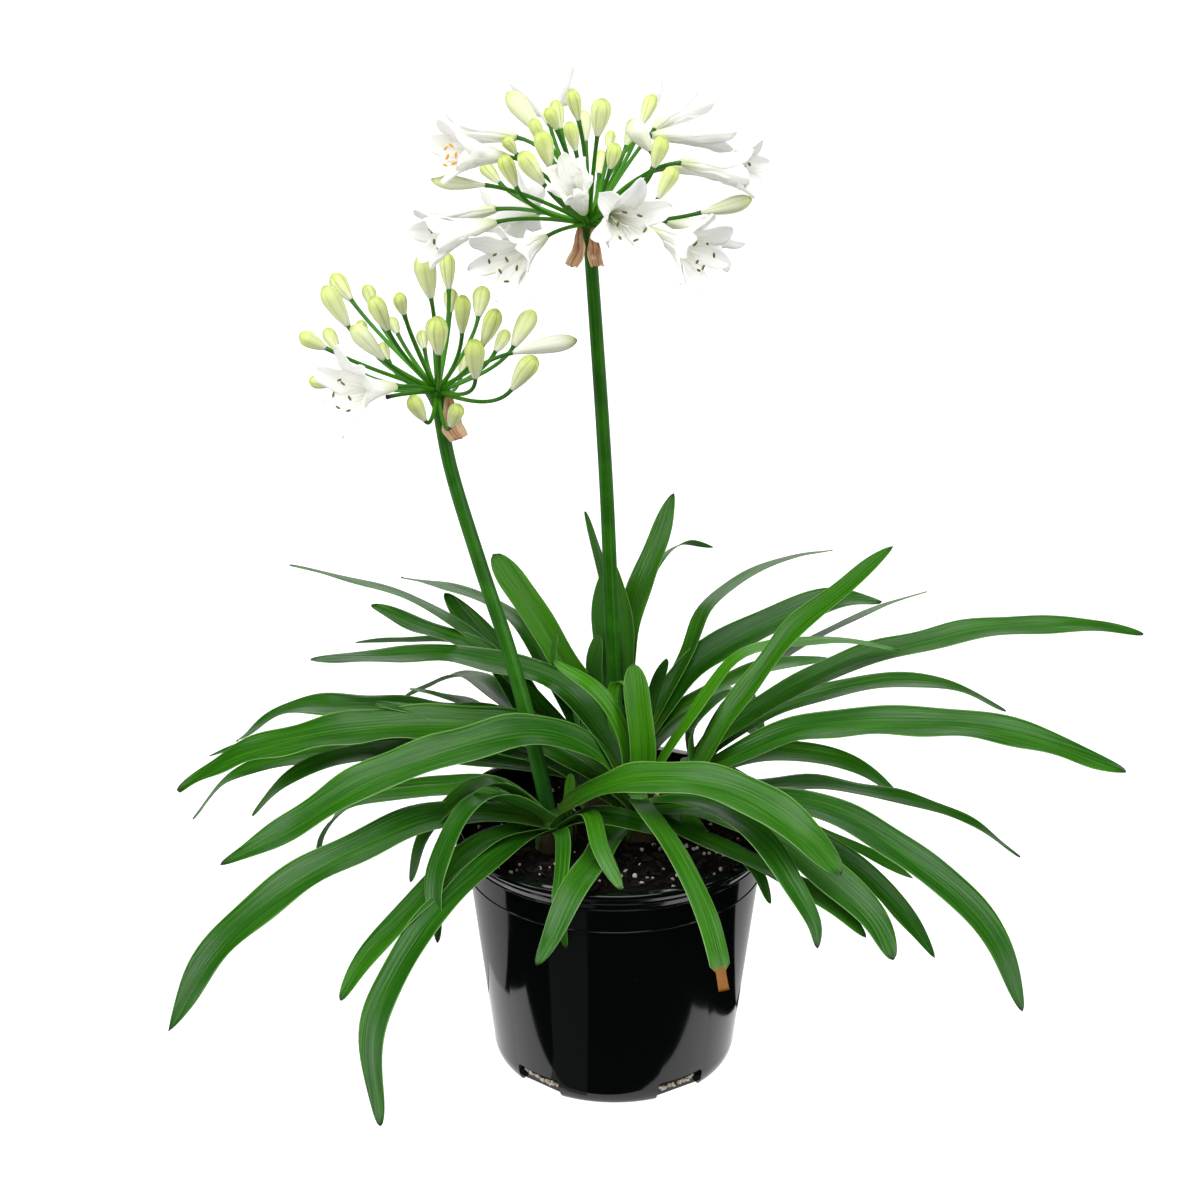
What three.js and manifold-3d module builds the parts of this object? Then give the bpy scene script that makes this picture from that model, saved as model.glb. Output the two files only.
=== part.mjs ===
// A flowering agapanthus in a black nursery pot.
// Millimetres, +Z up. The origin is the middle of the pot's underside.
// +X is to the right and +Y away when the plant is seen from its front.

import * as THREE from 'three';
import { mergeVertices } from 'three/addons/utils/BufferGeometryUtils.js';
import Module from 'manifold-3d';

const wasm = await Module();
wasm.setup();

// ---------------------------------------------------------------- dimensions

const GAP = 0.3; // clearance between touching pieces

const POT = {
  height: 150,
  lipRadius: 95,
  lipWidth: 6,
  lipDepth: 3,
  collarRadius: 88.5, // at the ring under the lip
  collarRing: 137,
  stepRadius: 86, // lower edge of the flared collar
  stepHeight: 122,
  wallTop: 84, // wall radius just under the collar
  wallBottom: 71, // wall radius where the foot starts to round
  footHeight: 12,
  footRadius: 66, // flat circle that the pot stands on
  wall: 2,
  floor: 3,
  ring: 0.8, // height of the moulded rings
  segments: 32,
};

const SLOT = { count: 5, first: 15, width: 30, height: 12.5, depth: 16 }; // drain slots, degrees and mm

const SOIL = { top: 138, crown: 2, wallDrop: 2, edge: 6 };

// Each fan of leaves grows from one neck: where it stands, how high the neck is above
// the soil, its half width along the fan and across it, and the fan's compass direction.
const FANS = {
  front_left: { x: -34, y: -16, neck: 22, long: 11, short: 8, plane: 25 },
  back_left: { x: -12, y: 34, neck: 30, long: 11, short: 8, plane: 150 },
  middle: { x: 12, y: -4, neck: 28, long: 11, short: 8, plane: 165 },
  right: { x: 38, y: 6, neck: 26, long: 11, short: 8, plane: 170 },
  back: { x: 16, y: 60, neck: 34, long: 10, short: 7, plane: 60 },
  back_right: { x: 44, y: 40, neck: 28, long: 10, short: 7, plane: 30 },
};

const PLANTED = 14; // how deep a neck or scape stands in the soil
const NECK = { sides: 8, straight: 0.4, topShare: 0.6 }; // straight share of its height, width on top

const LEAF = {
  step: 45, // length of one facet along the blade
  fewest: 3, // facets along a short blade
  midrib: [2.0, 1.1], // thickness at the midrib, at the neck and at the tip
  edge: 0.7, // thickness at the edges
  channel: [0.26, 0.06], // depth of the channel as a share of the width, neck and tip
  narrow: 14, // a leaf no wider than this is flat
  neckWidth: 0.6, // width at the neck as a share of the full width
  fullAt: 0.4, // where along the blade the full width is reached
  lastRing: 0.96, // where along the blade the last ring before the tip stands
  tip: 1, // width left at the tip
  point: 0.52, // how sharply the tip narrows
  root: { out: 2, bendOut: 5, sunk: 8 }, // where a blade starts in its neck, and where it bends
  highWay: 60, // first way point's height above the soil from which a blade leaves the neck's top
  lowShare: 0.5, // share of the neck's height that the lowest blades leave it at
};

// Leaves, fan by fan: width, roll in degrees, where the taper starts, then the way points
// that the midrib passes through from the neck to the tip.
const LEAVES = {
  front_left: [
    [16, 0, 0.6, [-75, -5, 166], [-119, 5, 159], [-150, 5, 154], [-167, 10, 134], [-173, 15, 99]],
    [17, -20, 0.8, [-65, -2, 166], [-100, 12, 161], [-132, 20, 156]],
    [25, -10, 0.65, [-95, -48, 172], [-155, -90, 166], [-206, -120, 141], [-240, -140, 93]],
    [18, 10, 0.6, [-72, -30, 185], [-104, -50, 164], [-114, -60, 140]],
    [16, 15, 0.6, [-75, -50, 185], [-96, -85, 160], [-97, -110, 130]],
    [19, 5, 0.65, [-68, -45, 158], [-96, -78, 149], [-128, -118, 132], [-147, -140, 112]],
    [20, 10, 0.6, [-66, -66, 156], [-104, -118, 139], [-126, -158, 112], [-124, -190, 66]],
    [9, 25, 0.6, [-29, -50, 164], [-30, -87, 158], [-31, -99, 150], [-26, -106, 124]],
    [10, 5, 0.75, [-15, -42, 173], [-7, -72, 167], [3, -93, 153]],
    [25, 20, 0.7, [15, -50, 197], [65, -70, 200], [100, -95, 190], [120, -110, 171]],
    [16, 10, 0.7, [-13, -32, 166], [7, -40, 167], [27, -47, 163]],
    [6, 40, 0.8, [-27, -12, 166], [-25, -9, 182]],
  ],
  back_left: [
    [13, 10, 0.5, [-22, 55, 200], [-54, 70, 208], [-105, 92, 238], [-160, 116, 249], [-195, 131, 251]],
    [16, 10, 0.6, [-41, 66, 213], [-56, 88, 230], [-75, 108, 236], [-101, 130, 237], [-130, 150, 235]],
    [20, -15, 0.6, [-44, 64, 179], [-68, 92, 204], [-101, 125, 236]],
    [18, 0, 0.8, [-44, 54, 191], [-80, 68, 223], [-120, 85, 233], [-144, 95, 240]],
    [15, 30, 0.6, [-45, 75, 183], [-85, 115, 204], [-130, 145, 195], [-160, 165, 185]],
    [19, 5, 0.5, [-50, 80, 170], [-90, 125, 180], [-130, 160, 150]],
    [14, 10, 0.6, [-50, 70, 165], [-90, 110, 170], [-125, 140, 165]],
    [16, 0, 0.6, [-80, 62, 159], [-150, 82, 158], [-210, 92, 153], [-245, 100, 139]],
    [19, -5, 0.65, [-85, 45, 165], [-160, 55, 162], [-228, 65, 141], [-253, 70, 111]],
    [19, -10, 0.65, [-75, 28, 170], [-135, 32, 174], [-189, 34, 157], [-213, 40, 129]],
    [10, 25, 0.8, [-26, 38, 208], [-35, 40, 228], [-33, 36, 250]],
    [16, 0, 0.6, [-38, 92, 164], [-56, 125, 148], [-70, 150, 120]],
    [16, 0, 0.6, [-16, 92, 166], [-26, 128, 138], [-32, 150, 100]],
  ],
  middle: [
    [23, -5, 0.55, [-25, 19, 216], [-85, 48, 226], [-145, 73, 216], [-180, 88, 208]],
    [22, -10, 0.65, [-50, 38, 184], [-125, 60, 187], [-190, 75, 182], [-227, 90, 154]],
    [27, -20, 0.55, [-60, 27, 190], [-145, 26, 191], [-215, 35, 172], [-256, 40, 145]],
    [26, -20, 0.5, [-15, -10, 195], [-50, -26, 213], [-125, -55, 204], [-180, -70, 178], [-215, -85, 164]],
    [16, -5, 0.6, [-5, -45, 154], [-20, -97, 158], [-34, -122, 142], [-43, -130, 128]],
    [13, -10, 0.9, [14, -46, 182], [28, -72, 175], [42, -105, 161], [54, -140, 140], [58, -150, 124]],
    [16, 5, 0.6, [60, -60, 183], [88, -98, 172], [105, -122, 150], [107, -130, 138]],
    [22, 15, 0.7, [62, -38, 170], [106, -78, 163], [137, -110, 146], [149, -128, 130]],
    [16, -5, 0.8, [46, -52, 161], [88, -83, 157], [118, -104, 147], [135, -118, 138]],
    [16, 15, 0.8, [15, 0, 190], [13, 4, 222], [10, 8, 242]],
    [11, -30, 0.6, [5, 0, 200], [-10, 0, 230], [-35, 5, 245]],
    [13, -10, 0.6, [-30, 20, 170], [-75, 30, 183], [-110, 36, 198], [-139, 40, 203]],
    [11, 5, 0.5, [38, 8, 200], [54, 20, 220], [74, 26, 240], [119, 34, 245], [163, 38, 237]],
    [7, -20, 0.7, [0, 14, 200], [0, 18, 221], [3, 18, 227], [8, 17, 224]],
  ],
  right: [
    [10, 0, 0.6, [54, -44, 154], [68, -61, 158], [79, -72, 151], [86, -77, 136]],
    [18, 5, 0.6, [85, -25, 156], [130, -50, 146], [161, -75, 126], [176, -90, 109]],
    [12, 0, 0.85, [85, 0, 155], [122, -5, 140], [150, -10, 128], [171, -15, 118]],
    [22, 10, 0.6, [108, -40, 175], [167, -90, 165], [204, -125, 138], [217, -146, 109]],
    [18, 0, 0.6, [100, 20, 158], [160, 24, 149], [207, 28, 131], [239, 28, 108]],
    [25, 15, 0.6, [105, -10, 206], [185, -30, 221], [245, -40, 213], [281, -50, 203]],
    [16, 25, 0.6, [70, 10, 215], [100, 10, 260], [135, 15, 292], [155, 15, 310]],
  ],
  back_right: [
    [19, 15, 0.6, [90, 50, 164], [140, 60, 152], [175, 70, 122]],
    [18, 5, 0.65, [95, 60, 187], [150, 75, 197], [202, 90, 189], [236, 100, 169]],
    [20, 15, 0.5, [115, 45, 214], [190, 45, 241], [255, 48, 248], [305, 50, 242]],
    [11, -15, 0.5, [70, 76, 189], [120, 100, 217], [160, 125, 226], [190, 140, 230]],
    [16, 0, 0.6, [66, 78, 166], [84, 108, 150], [94, 128, 130]],
    [20, -20, 0.8, [46, 45, 182], [58, 48, 197], [69, 51, 205]],
  ],
  back: [
    [18, -50, 0.85, [-20, 52, 208], [-45, 55, 248], [-69, 60, 288]],
    [22, 20, 0.6, [45, 78, 203], [88, 92, 228], [130, 102, 240], [160, 110, 236]],
    [14, -15, 0.55, [44, 88, 213], [54, 112, 230], [73, 130, 239], [96, 145, 247], [135, 170, 245]],
    [9, 5, 0.7, [22, 45, 205], [30, 20, 240]],
    [12, 10, 0.7, [-2, 70, 213], [-6, 75, 265], [-17, 85, 304]],
    [12, 40, 0.7, [-2, 64, 196], [-9, 60, 241], [-7, 58, 277]],
    [12, 10, 0.6, [8, 51, 206], [6, 49, 250], [0, 49, 286]],
    [17, 10, 0.65, [7, 60, 208], [13, 65, 252], [26, 70, 295], [34.5, 75, 319]],
    [11, -35, 0.5, [9, 90, 222], [24, 120, 253], [43, 140, 262], [60, 150, 255]],
    [18, 0, 0.5, [-4, 125, 168], [-12, 185, 145], [-20, 235, 80]],
    [18, 0, 0.5, [55, 118, 166], [80, 178, 145], [97, 228, 80]],
    [17, 0, 0.75, [33, 62, 181], [61, 70, 197], [90, 76, 208], [127, 84, 211]],
    [14, 20, 0.75, [-8, 50, 200], [-12, 50, 220], [-9, 50, 242]],
  ],
};

// The two flower stems (scapes): way points of the axis, radius at the soil and at the head.
const SCAPES = {
  tall: { way: [[3, 41, 140], [0, 38, 212], [-5, 30, 344], [-14, 20, 489]], radius: [4.6, 3.6] },
  left: {
    way: [[-37, -2, 145], [-46.5, 0, 198], [-59, 5, 250], [-75, 12, 301], [-91, 18, 358], [-97, 20, 395]],
    radius: [4.8, 3.8],
  },
};
const HUB = { radius: 7, below: 8, above: 5 }; // swollen top of a scape that the stalks leave from
const STALK = { radius: 1.1, root: 0.7, sunk: 4, sag: 0.3, steps: 3 };
const SCAPE_STEPS = 10;
const SIDES = { scape: 8, stalk: 4, bud: 5, hub: 10 };

// Buds: compass direction and rise of the line from the hub to the stalk's end, length of that
// line, compass direction and rise that the bud points, its length and its width.
const BUDS = {
  tall: [
    [145, 55, 55, 155, 45, 28, 11], // opening
    [225, 55, 60, 200, 70, 15, 7],
    [240, 45, 58, 235, 70, 21, 10],
    [230, 65, 62, 210, 65, 13, 7],
    [125, 60, 53, 120, 65, 16, 8],
    [250, 75, 62, 205, 75, 17, 8],
    [255, 60, 54, 235, 70, 17, 8],
    [95, 60, 45, 100, 65, 17, 8],
    [280, 65, 60, 300, 75, 21, 11],
    [65, 55, 42, 75, 60, 11, 6],
    [290, 50, 50, 305, 70, 15, 8],
    [35, 55, 60, 45, 60, 17, 8],
    [60, 40, 52, 60, 50, 13, 7],
    [315, 40, 62, 320, 70, 18, 9],
    [310, 25, 62, 325, 60, 20, 9],
    [210, 45, 62, 195, 55, 11, 7],
    [225, 30, 62, 215, 65, 19, 9],
    [240, 35, 58, 210, 55, 22, 10],
    [205, 25, 66, 195, 10, 29, 8], // long and pale, about to open
    [335, 12, 66, 350, 18, 28, 9], // long and cream
    [325, 50, 60, 200, 55, 20, 11], // white and swollen
    [110, 15, 60, 115, 40, 16, 8],
    [85, 10, 62, 85, 35, 17, 8],
    [150, 15, 58, 150, 40, 15, 8],
  ],
  left: [
    [145, 35, 72, 145, 45, 18, 10],
    [190, 40, 62, 170, 60, 25, 11],
    [130, 30, 66, 120, 50, 15, 8],
    [150, 10, 66, 130, 45, 16, 8],
    [190, 25, 66, 180, 30, 16, 9],
    [155, -5, 66, 165, 5, 14, 8],
    [135, 15, 60, 120, 45, 13, 7],
    [230, 35, 50, 210, 50, 28, 10],
    [120, 0, 60, 115, 35, 13, 7],
    [230, 50, 58, 220, 65, 22, 10],
    [115, 15, 60, 120, 35, 12, 7],
    [120, 40, 50, 130, 60, 13, 7],
    [240, 60, 60, 220, 75, 13, 7],
    [100, 5, 58, 100, 30, 14, 7],
    [265, 75, 60, 200, 80, 25, 12],
    [75, 65, 56, 100, 75, 20, 9],
    [80, 45, 48, 85, 60, 14, 8],
    [95, 20, 38, 95, 50, 18, 9],
    [275, 40, 55, 270, 75, 23, 11],
    [50, 45, 48, 75, 55, 18, 10],
    [295, 50, 58, 280, 75, 23, 9],
    [305, 40, 62, 320, 65, 23, 10],
    [300, 25, 50, 270, 75, 24, 11],
    [40, 15, 55, 55, 40, 25, 11],
    [10, 25, 46, 5, 10, 36, 10], // long and white
    [315, 15, 62, 335, 55, 24, 11],
    [285, -15, 34, 320, 65, 15, 9], // hangs below the hub
    [260, -10, 32, 225, 60, 18, 9],
    [60, 5, 60, 60, 35, 16, 8],
    [80, -10, 60, 80, 30, 16, 8],
  ],
};

// Open flowers: direction, rise and length of the line to the stalk's end, direction and rise
// that the flower faces, and how far it is open.
const FLOWERS = {
  tall: [
    [200, 42, 60, 215, 12, 0.6],
    [150, 0, 58, 165, -10, 0.6],
    [215, 10, 60, 210, -5, 0.55],
    [240, 5, 45, 232, -10, 0.9],
    [262, 30, 22, 256, 42, 0.4],
    [115, 40, 66, 95, 15, 0.8],
    [130, 30, 70, 160, 5, 0.7],
    [55, 32, 72, 64, 12, 0.7],
    [42, 42, 60, 15, 0, 0.5],
    [50, 15, 66, 25, 0, 0.6],
    [335, 36, 66, 335, 2, 0.5],
    [45, -10, 60, 25, -20, 0.8],
    [285, 22, 42, 288, 8, 1],
    [305, 10, 55, 320, -10, 0.9],
    [118, -8, 60, 115, -12, 0.9],
    [80, -10, 60, 78, -12, 0.9],
  ],
  left: [[244, 20, 47, 222, 8, 1]],
};
const FLOWER = {
  tube: 13, // length of the closed tube
  neck: 1.6, // radius at the stalk
  mouth: 4.4, // radius where the tepals part
  throat: 6, // depth of the open throat
  tepals: 6,
  reach: 32, // length of the free part of a tepal
  width: 13.5,
  outerWidth: 0.85, // outer tepals are narrower than inner ones, as a share
  thickness: 1.4,
  strokes: 8, // straight strokes that a tepal's curl is summed from
  cup: 0.18, // how far a tepal's edges stand in front of its middle, as a share of its width
  room: 0.55, // the most that half a tepal's width may be, as a share of its distance from the axis
  flare: [16, 36, 66], // angle from the axis at the tepal's root, middle and tip, degrees
};
const TEPAL_SHAPE = [[0.4, 1], [0.82, 0.8]]; // share of its length, share of its full width

// Papery bracts under each hub: direction they hang on, width and length.
const BRACTS = {
  tall: [[232, 10, 20], [286, 8, 19]],
  left: [[320, 16, 24]],
};
const BRACT_THICKNESS = 1;
// Share of its length, share of its width, distance that it stands off there.
const BRACT_SHAPE = [[0.04, 0.35, 0.2], [0.3, 0.6, 0.7], [0.75, 1, 2.5], [1, 0.9, 8]];

// ------------------------------------------------------------------- helpers

const { degToRad, lerp, clamp } = THREE.MathUtils;
const UP = new THREE.Vector3(0, 0, 1);
const vector = (p) => new THREE.Vector3(p[0], p[1], p[2]);

// Direction from a compass angle (0 = +X, 90 = +Y) and a rise above the horizon, in degrees.
function heading(compass, rise = 0) {
  const a = degToRad(compass);
  const e = degToRad(rise);
  return new THREE.Vector3(Math.cos(e) * Math.cos(a), Math.cos(e) * Math.sin(a), Math.sin(e));
}

// A closed solid from an indexed geometry that holds only positions.
function solid(geometry) {
  return new wasm.Manifold(new wasm.Mesh({
    numProp: 3,
    vertProperties: new Float32Array(geometry.attributes.position.array),
    triVerts: new Uint32Array(geometry.index.array),
  }));
}

// A closed solid from points and triangles, turned right side out.
function closed(points, index) {
  let volume = 0;
  for (let i = 0; i < index.length; i += 3) {
    const [a, b, c] = [points[index[i]], points[index[i + 1]], points[index[i + 2]]];
    volume += a.dot(new THREE.Vector3().crossVectors(b, c));
  }
  const geometry = new THREE.BufferGeometry().setFromPoints(points);
  geometry.setIndex(volume < 0 ? [...index].reverse() : index);
  return solid(geometry);
}

const joined = (solids) => wasm.Manifold.union(solids);

function toGeometry(body) {
  const mesh = body.getMesh();
  const geometry = new THREE.BufferGeometry();
  geometry.setAttribute('position', new THREE.BufferAttribute(mesh.vertProperties, 3));
  geometry.setIndex(new THREE.BufferAttribute(mesh.triVerts, 1));
  return geometry;
}

// Skin through rings of points. Every ring has the same even number of points: the first half
// runs along one face from left to right and the second half comes back along the other face.
// Opposite faces are split along matching diagonals, so a twisted blade never crosses itself.
function loft(rings) {
  const n = rings[0].length;
  const index = [];
  const quad = (a, b, c, d) => index.push(a, b, c, a, c, d);
  for (let k = 0; k < rings.length - 1; k += 1) {
    for (let j = 0; j < n; j += 1) {
      const a = k * n + j;
      const b = k * n + ((j + 1) % n);
      if (j < n / 2) quad(a, b, b + n, a + n);
      else quad(b, b + n, a + n, a);
    }
  }
  const last = (rings.length - 1) * n;
  for (let j = 0; j < n / 2 - 1; j += 1) {
    quad(n - 1 - j, n - 2 - j, j + 1, j);
    quad(last + j, last + j + 1, last + n - 2 - j, last + n - 1 - j);
  }
  return closed(rings.flat(), index);
}

// Round skin through stations { at, along, radius }. The first point of each ring is carried
// forward from the ring before it, so the skin doesn't twist.
function roundSkin(stations, sides) {
  const points = [];
  const index = [];
  const first = stations[0].along;
  let across = new THREE.Vector3(first.z, first.x, first.y).cross(first).normalize();
  stations.forEach(({ at, along, radius }, k) => {
    across = across.clone().addScaledVector(along, -across.dot(along)).normalize();
    const over = new THREE.Vector3().crossVectors(along, across);
    for (let j = 0; j < sides; j += 1) {
      const a = (2 * Math.PI * j) / sides;
      const rim = across.clone().multiplyScalar(Math.cos(a)).addScaledVector(over, Math.sin(a));
      points.push(at.clone().addScaledVector(rim, radius));
      if (k === 0) continue;
      const p = (k - 1) * sides + j;
      const q = (k - 1) * sides + ((j + 1) % sides);
      index.push(p, q, q + sides, p, q + sides, p + sides);
    }
  });
  const last = (stations.length - 1) * sides;
  for (let j = 1; j < sides - 1; j += 1) index.push(0, j + 1, j, last, last + j, last + j + 1);
  return closed(points, index);
}

// Stations along a curve from its start to its end.
function along(curve, count, radiusAt) {
  return Array.from({ length: count + 1 }, (_, k) => {
    const t = k / count;
    return { at: curve.getPointAt(t), along: curve.getTangentAt(t), radius: radiusAt(t) };
  });
}

// A solid turned about +Z. The profile of [radius, height] starts and ends on the axis.
function turned(profile, segments) {
  const outline = profile.map(([r, z]) => new THREE.Vector2(r, z));
  const geometry = new THREE.LatheGeometry(outline, segments);
  geometry.deleteAttribute('normal');
  geometry.deleteAttribute('uv');
  geometry.rotateX(Math.PI / 2);
  const merged = mergeVertices(geometry, 1e-4);
  const index = Array.from(merged.index.array);
  const kept = [];
  for (let i = 0; i < index.length; i += 3) {
    const [a, b, c] = index.slice(i, i + 3);
    if (a !== b && b !== c && c !== a) kept.push(a, b, c); // none that is a line on the axis
  }
  merged.setIndex(kept);
  return solid(merged);
}

const material = ([color, roughness]) => new THREE.MeshStandardMaterial({ color, roughness, metalness: 0 });

// ----------------------------------------------------------------------- pot

// Outer wall from the foot to the lip, as [radius, height].
function outerWall() {
  const p = POT;
  const foot = [0, 0.5, 1].map((t) => {
    const a = (t * Math.PI) / 2;
    return [lerp(p.footRadius, p.wallBottom, Math.sin(a)), p.footHeight * (1 - Math.cos(a))];
  });
  return [
    ...foot,
    [p.wallTop, p.stepHeight - p.ring],
    [p.stepRadius, p.stepHeight],
    [p.collarRadius - p.ring, p.collarRing - p.ring],
    [p.collarRadius, p.collarRing],
    [p.lipRadius - p.lipDepth, p.height - p.lipDepth - p.ring],
    [p.lipRadius, p.height - p.lipDepth],
    [p.lipRadius, p.height - p.ring],
    [p.lipRadius - p.ring, p.height],
  ];
}

// Inner wall from the floor up to the lip.
function innerWall() {
  const p = POT;
  return [
    [p.footRadius - p.wall, p.floor],
    [p.wallBottom - p.wall, p.footHeight],
    [p.wallTop - p.wall, p.stepHeight],
    [p.collarRadius - p.wall, p.collarRing],
    [p.lipRadius - p.lipWidth, p.height],
  ];
}

function drainSlots() {
  return Array.from({ length: SLOT.count }, (_, i) => {
    const box = new THREE.BoxGeometry(SLOT.depth, SLOT.width, SLOT.height * 2);
    box.deleteAttribute('normal');
    box.deleteAttribute('uv');
    box.translate(POT.wallBottom, 0, 0);
    box.rotateZ(degToRad(SLOT.first + (360 / SLOT.count) * i));
    return solid(mergeVertices(box));
  });
}

function pot() {
  const profile = [[0, 0], ...outerWall(), ...innerWall().reverse(), [0, POT.floor]];
  return toGeometry(turned(profile, POT.segments).subtract(joined(drainSlots())));
}

// ---------------------------------------------------------------------- soil

function soilBody() {
  const [floor, bottom, step, ring] = innerWall();
  const edgeHeight = SOIL.top - SOIL.wallDrop - SOIL.edge;
  const edgeShare = (edgeHeight - step[1]) / (ring[1] - step[1]);
  const edge = lerp(step[0], ring[0], edgeShare) - GAP;
  return turned([
    [0, floor[1] + GAP],
    [floor[0] - GAP, floor[1] + GAP],
    [bottom[0] - GAP, bottom[1]],
    [step[0] - GAP, step[1]],
    [edge, edgeHeight],
    [edge - SOIL.edge / 2, SOIL.top - SOIL.wallDrop],
    [POT.footRadius, SOIL.top],
    [0, SOIL.top + SOIL.crown],
  ], POT.segments);
}

// -------------------------------------------------------------------- leaves

// A neck of wrapped leaf bases standing in the soil, `grow` larger all round for its hole.
function neck(fan, grow = 0) {
  const long = heading(fan.plane);
  const short = heading(fan.plane + 90);
  const ring = (height, share) => Array.from({ length: NECK.sides }, (_, i) => {
    const a = (2 * Math.PI * (i + 0.5)) / NECK.sides;
    return new THREE.Vector3(fan.x, fan.y, height)
      .addScaledVector(long, (fan.long * share + grow) * Math.cos(a))
      .addScaledVector(short, (fan.short * share + grow) * Math.sin(a));
  });
  return loft([
    ring(SOIL.top - PLANTED - grow, 1),
    ring(SOIL.top + fan.neck * NECK.straight, 1),
    ring(SOIL.top + fan.neck, NECK.topShare),
  ]);
}

// Midrib of a leaf. A low leaf leaves its neck near the soil and a high one near the top.
function midrib(fan, way) {
  const tip = way.at(-1);
  const out = new THREE.Vector3(tip[0] - fan.x, tip[1] - fan.y, 0).normalize();
  const share = clamp((way[0][2] - SOIL.top) / LEAF.highWay, LEAF.lowShare, 1);
  const middle = new THREE.Vector3(fan.x, fan.y, SOIL.top + fan.neck * share);
  const bend = middle.clone().addScaledVector(out, LEAF.root.bendOut);
  const root = middle.clone().addScaledVector(out, LEAF.root.out).addScaledVector(UP, -LEAF.root.sunk);
  const curve = new THREE.CatmullRomCurve3([root, bend, ...way.map(vector)], false, 'centripetal');
  return { curve, side: new THREE.Vector3(-out.y, out.x, 0) };
}

function leafWidth(t, width, taper) {
  const growth = Math.sin((Math.min(t / LEAF.fullAt, 1) * Math.PI) / 2);
  const end = clamp((t - taper) / (1 - taper), 0, 1);
  return width * lerp(LEAF.neckWidth, 1, growth) * (1 - end ** 2) ** LEAF.point;
}

// Strap blade. A wide one is channelled, with six points a ring: left edge, midrib and right
// edge on both faces. A narrow one is flat.
function leaf(fan, [width, roll, taper, ...way]) {
  const { curve, side } = midrib(fan, way);
  const steps = Math.max(LEAF.fewest, Math.round(curve.getLength() / LEAF.step));
  const stations = Array.from({ length: steps }, (_, k) => k / steps);
  const rings = [...stations, LEAF.lastRing, 1].map((t) => {
    const centre = curve.getPointAt(t);
    const run = curve.getTangentAt(t);
    const left = side.clone().addScaledVector(run, -side.dot(run)).normalize();
    left.applyAxisAngle(run, degToRad(roll));
    const face = new THREE.Vector3().crossVectors(run, left);
    const half = Math.max(leafWidth(t, width, taper), LEAF.tip) / 2;
    const rib = lerp(...LEAF.midrib, t) / 2;
    const rise = half * 2 * lerp(...LEAF.channel, t);
    const edge = LEAF.edge / 2;
    const point = (u, v) => centre.clone().addScaledVector(left, u).addScaledVector(face, v);
    if (width <= LEAF.narrow) {
      const flat = (rib + edge) / 2;
      return [point(half, flat), point(-half, flat), point(-half, -flat), point(half, -flat)];
    }
    return [
      point(half, rise + edge), point(0, rib), point(-half, rise + edge),
      point(-half, rise - edge), point(0, -rib), point(half, rise - edge),
    ];
  });
  return loft(rings);
}

function leafFan(name) {
  const fan = FANS[name];
  return toGeometry(joined([neck(fan), ...LEAVES[name].map((row) => leaf(fan, row))]));
}

// -------------------------------------------------------------- flower heads

// The scape stands in the soil, `grow` thicker for its hole.
function scape({ way, radius }, grow = 0) {
  const foot = vector(way[0]).setZ(SOIL.top - PLANTED - grow);
  const curve = new THREE.CatmullRomCurve3([foot, ...way.map(vector)], false, 'centripetal');
  return roundSkin(along(curve, SCAPE_STEPS, (t) => lerp(...radius, t) + grow), SIDES.scape);
}

const hubOf = (name) => vector(SCAPES[name].way.at(-1)).addScaledVector(UP, HUB.above);

// Stalk from inside the hub to its end, arriving in the direction that the bud or flower points.
function stalkCurve(hub, end, points) {
  const bend = end.clone().addScaledVector(points, -STALK.sag * end.distanceTo(hub));
  const root = bend.clone().sub(hub).setLength(STALK.sunk).add(hub);
  return new THREE.QuadraticBezierCurve3(root, bend, end);
}

const stalkRadius = (t) => lerp(STALK.root, STALK.radius, Math.min(2 * t, 1));

function stalk(hub, [compass, rise, length, pointsCompass, pointsRise]) {
  const end = hub.clone().addScaledVector(heading(compass, rise), length);
  const curve = stalkCurve(hub, end, heading(pointsCompass, pointsRise));
  return roundSkin(along(curve, STALK.steps, stalkRadius), SIDES.stalk);
}

// Bud on its stalk: a narrow base that swells and closes to a blunt tip.
const BUD_SHAPE = [[0.28, 0.37], [0.7, 0.5], [1, 0.14]]; // share of length, of width

function bud(hub, [compass, rise, length, pointsCompass, pointsRise, budLength, budWidth]) {
  const points = heading(pointsCompass, pointsRise);
  const end = hub.clone().addScaledVector(heading(compass, rise), length);
  const body = BUD_SHAPE.map(([s, r]) => ({
    at: end.clone().addScaledVector(points, s * budLength), along: points, radius: r * budWidth,
  }));
  const steps = along(stalkCurve(hub, end, points), STALK.steps - 1, stalkRadius);
  return roundSkin([...steps, ...body], SIDES.bud);
}

// Scape, hub, stalks and buds of one head: all green, and grown as one piece.
function flowerStem(name) {
  const hub = hubOf(name);
  const swelling = turned([
    [0, -HUB.below], [SCAPES[name].radius[1], -HUB.below], [HUB.radius, 0],
    [HUB.radius * 0.6, HUB.above * 0.8], [0, HUB.above],
  ], SIDES.hub).translate(hub.toArray());
  return toGeometry(joined([
    scape(SCAPES[name]),
    swelling,
    ...BUDS[name].map((row) => bud(hub, row)),
    ...FLOWERS[name].map((row) => stalk(hub, row)),
  ]));
}

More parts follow.
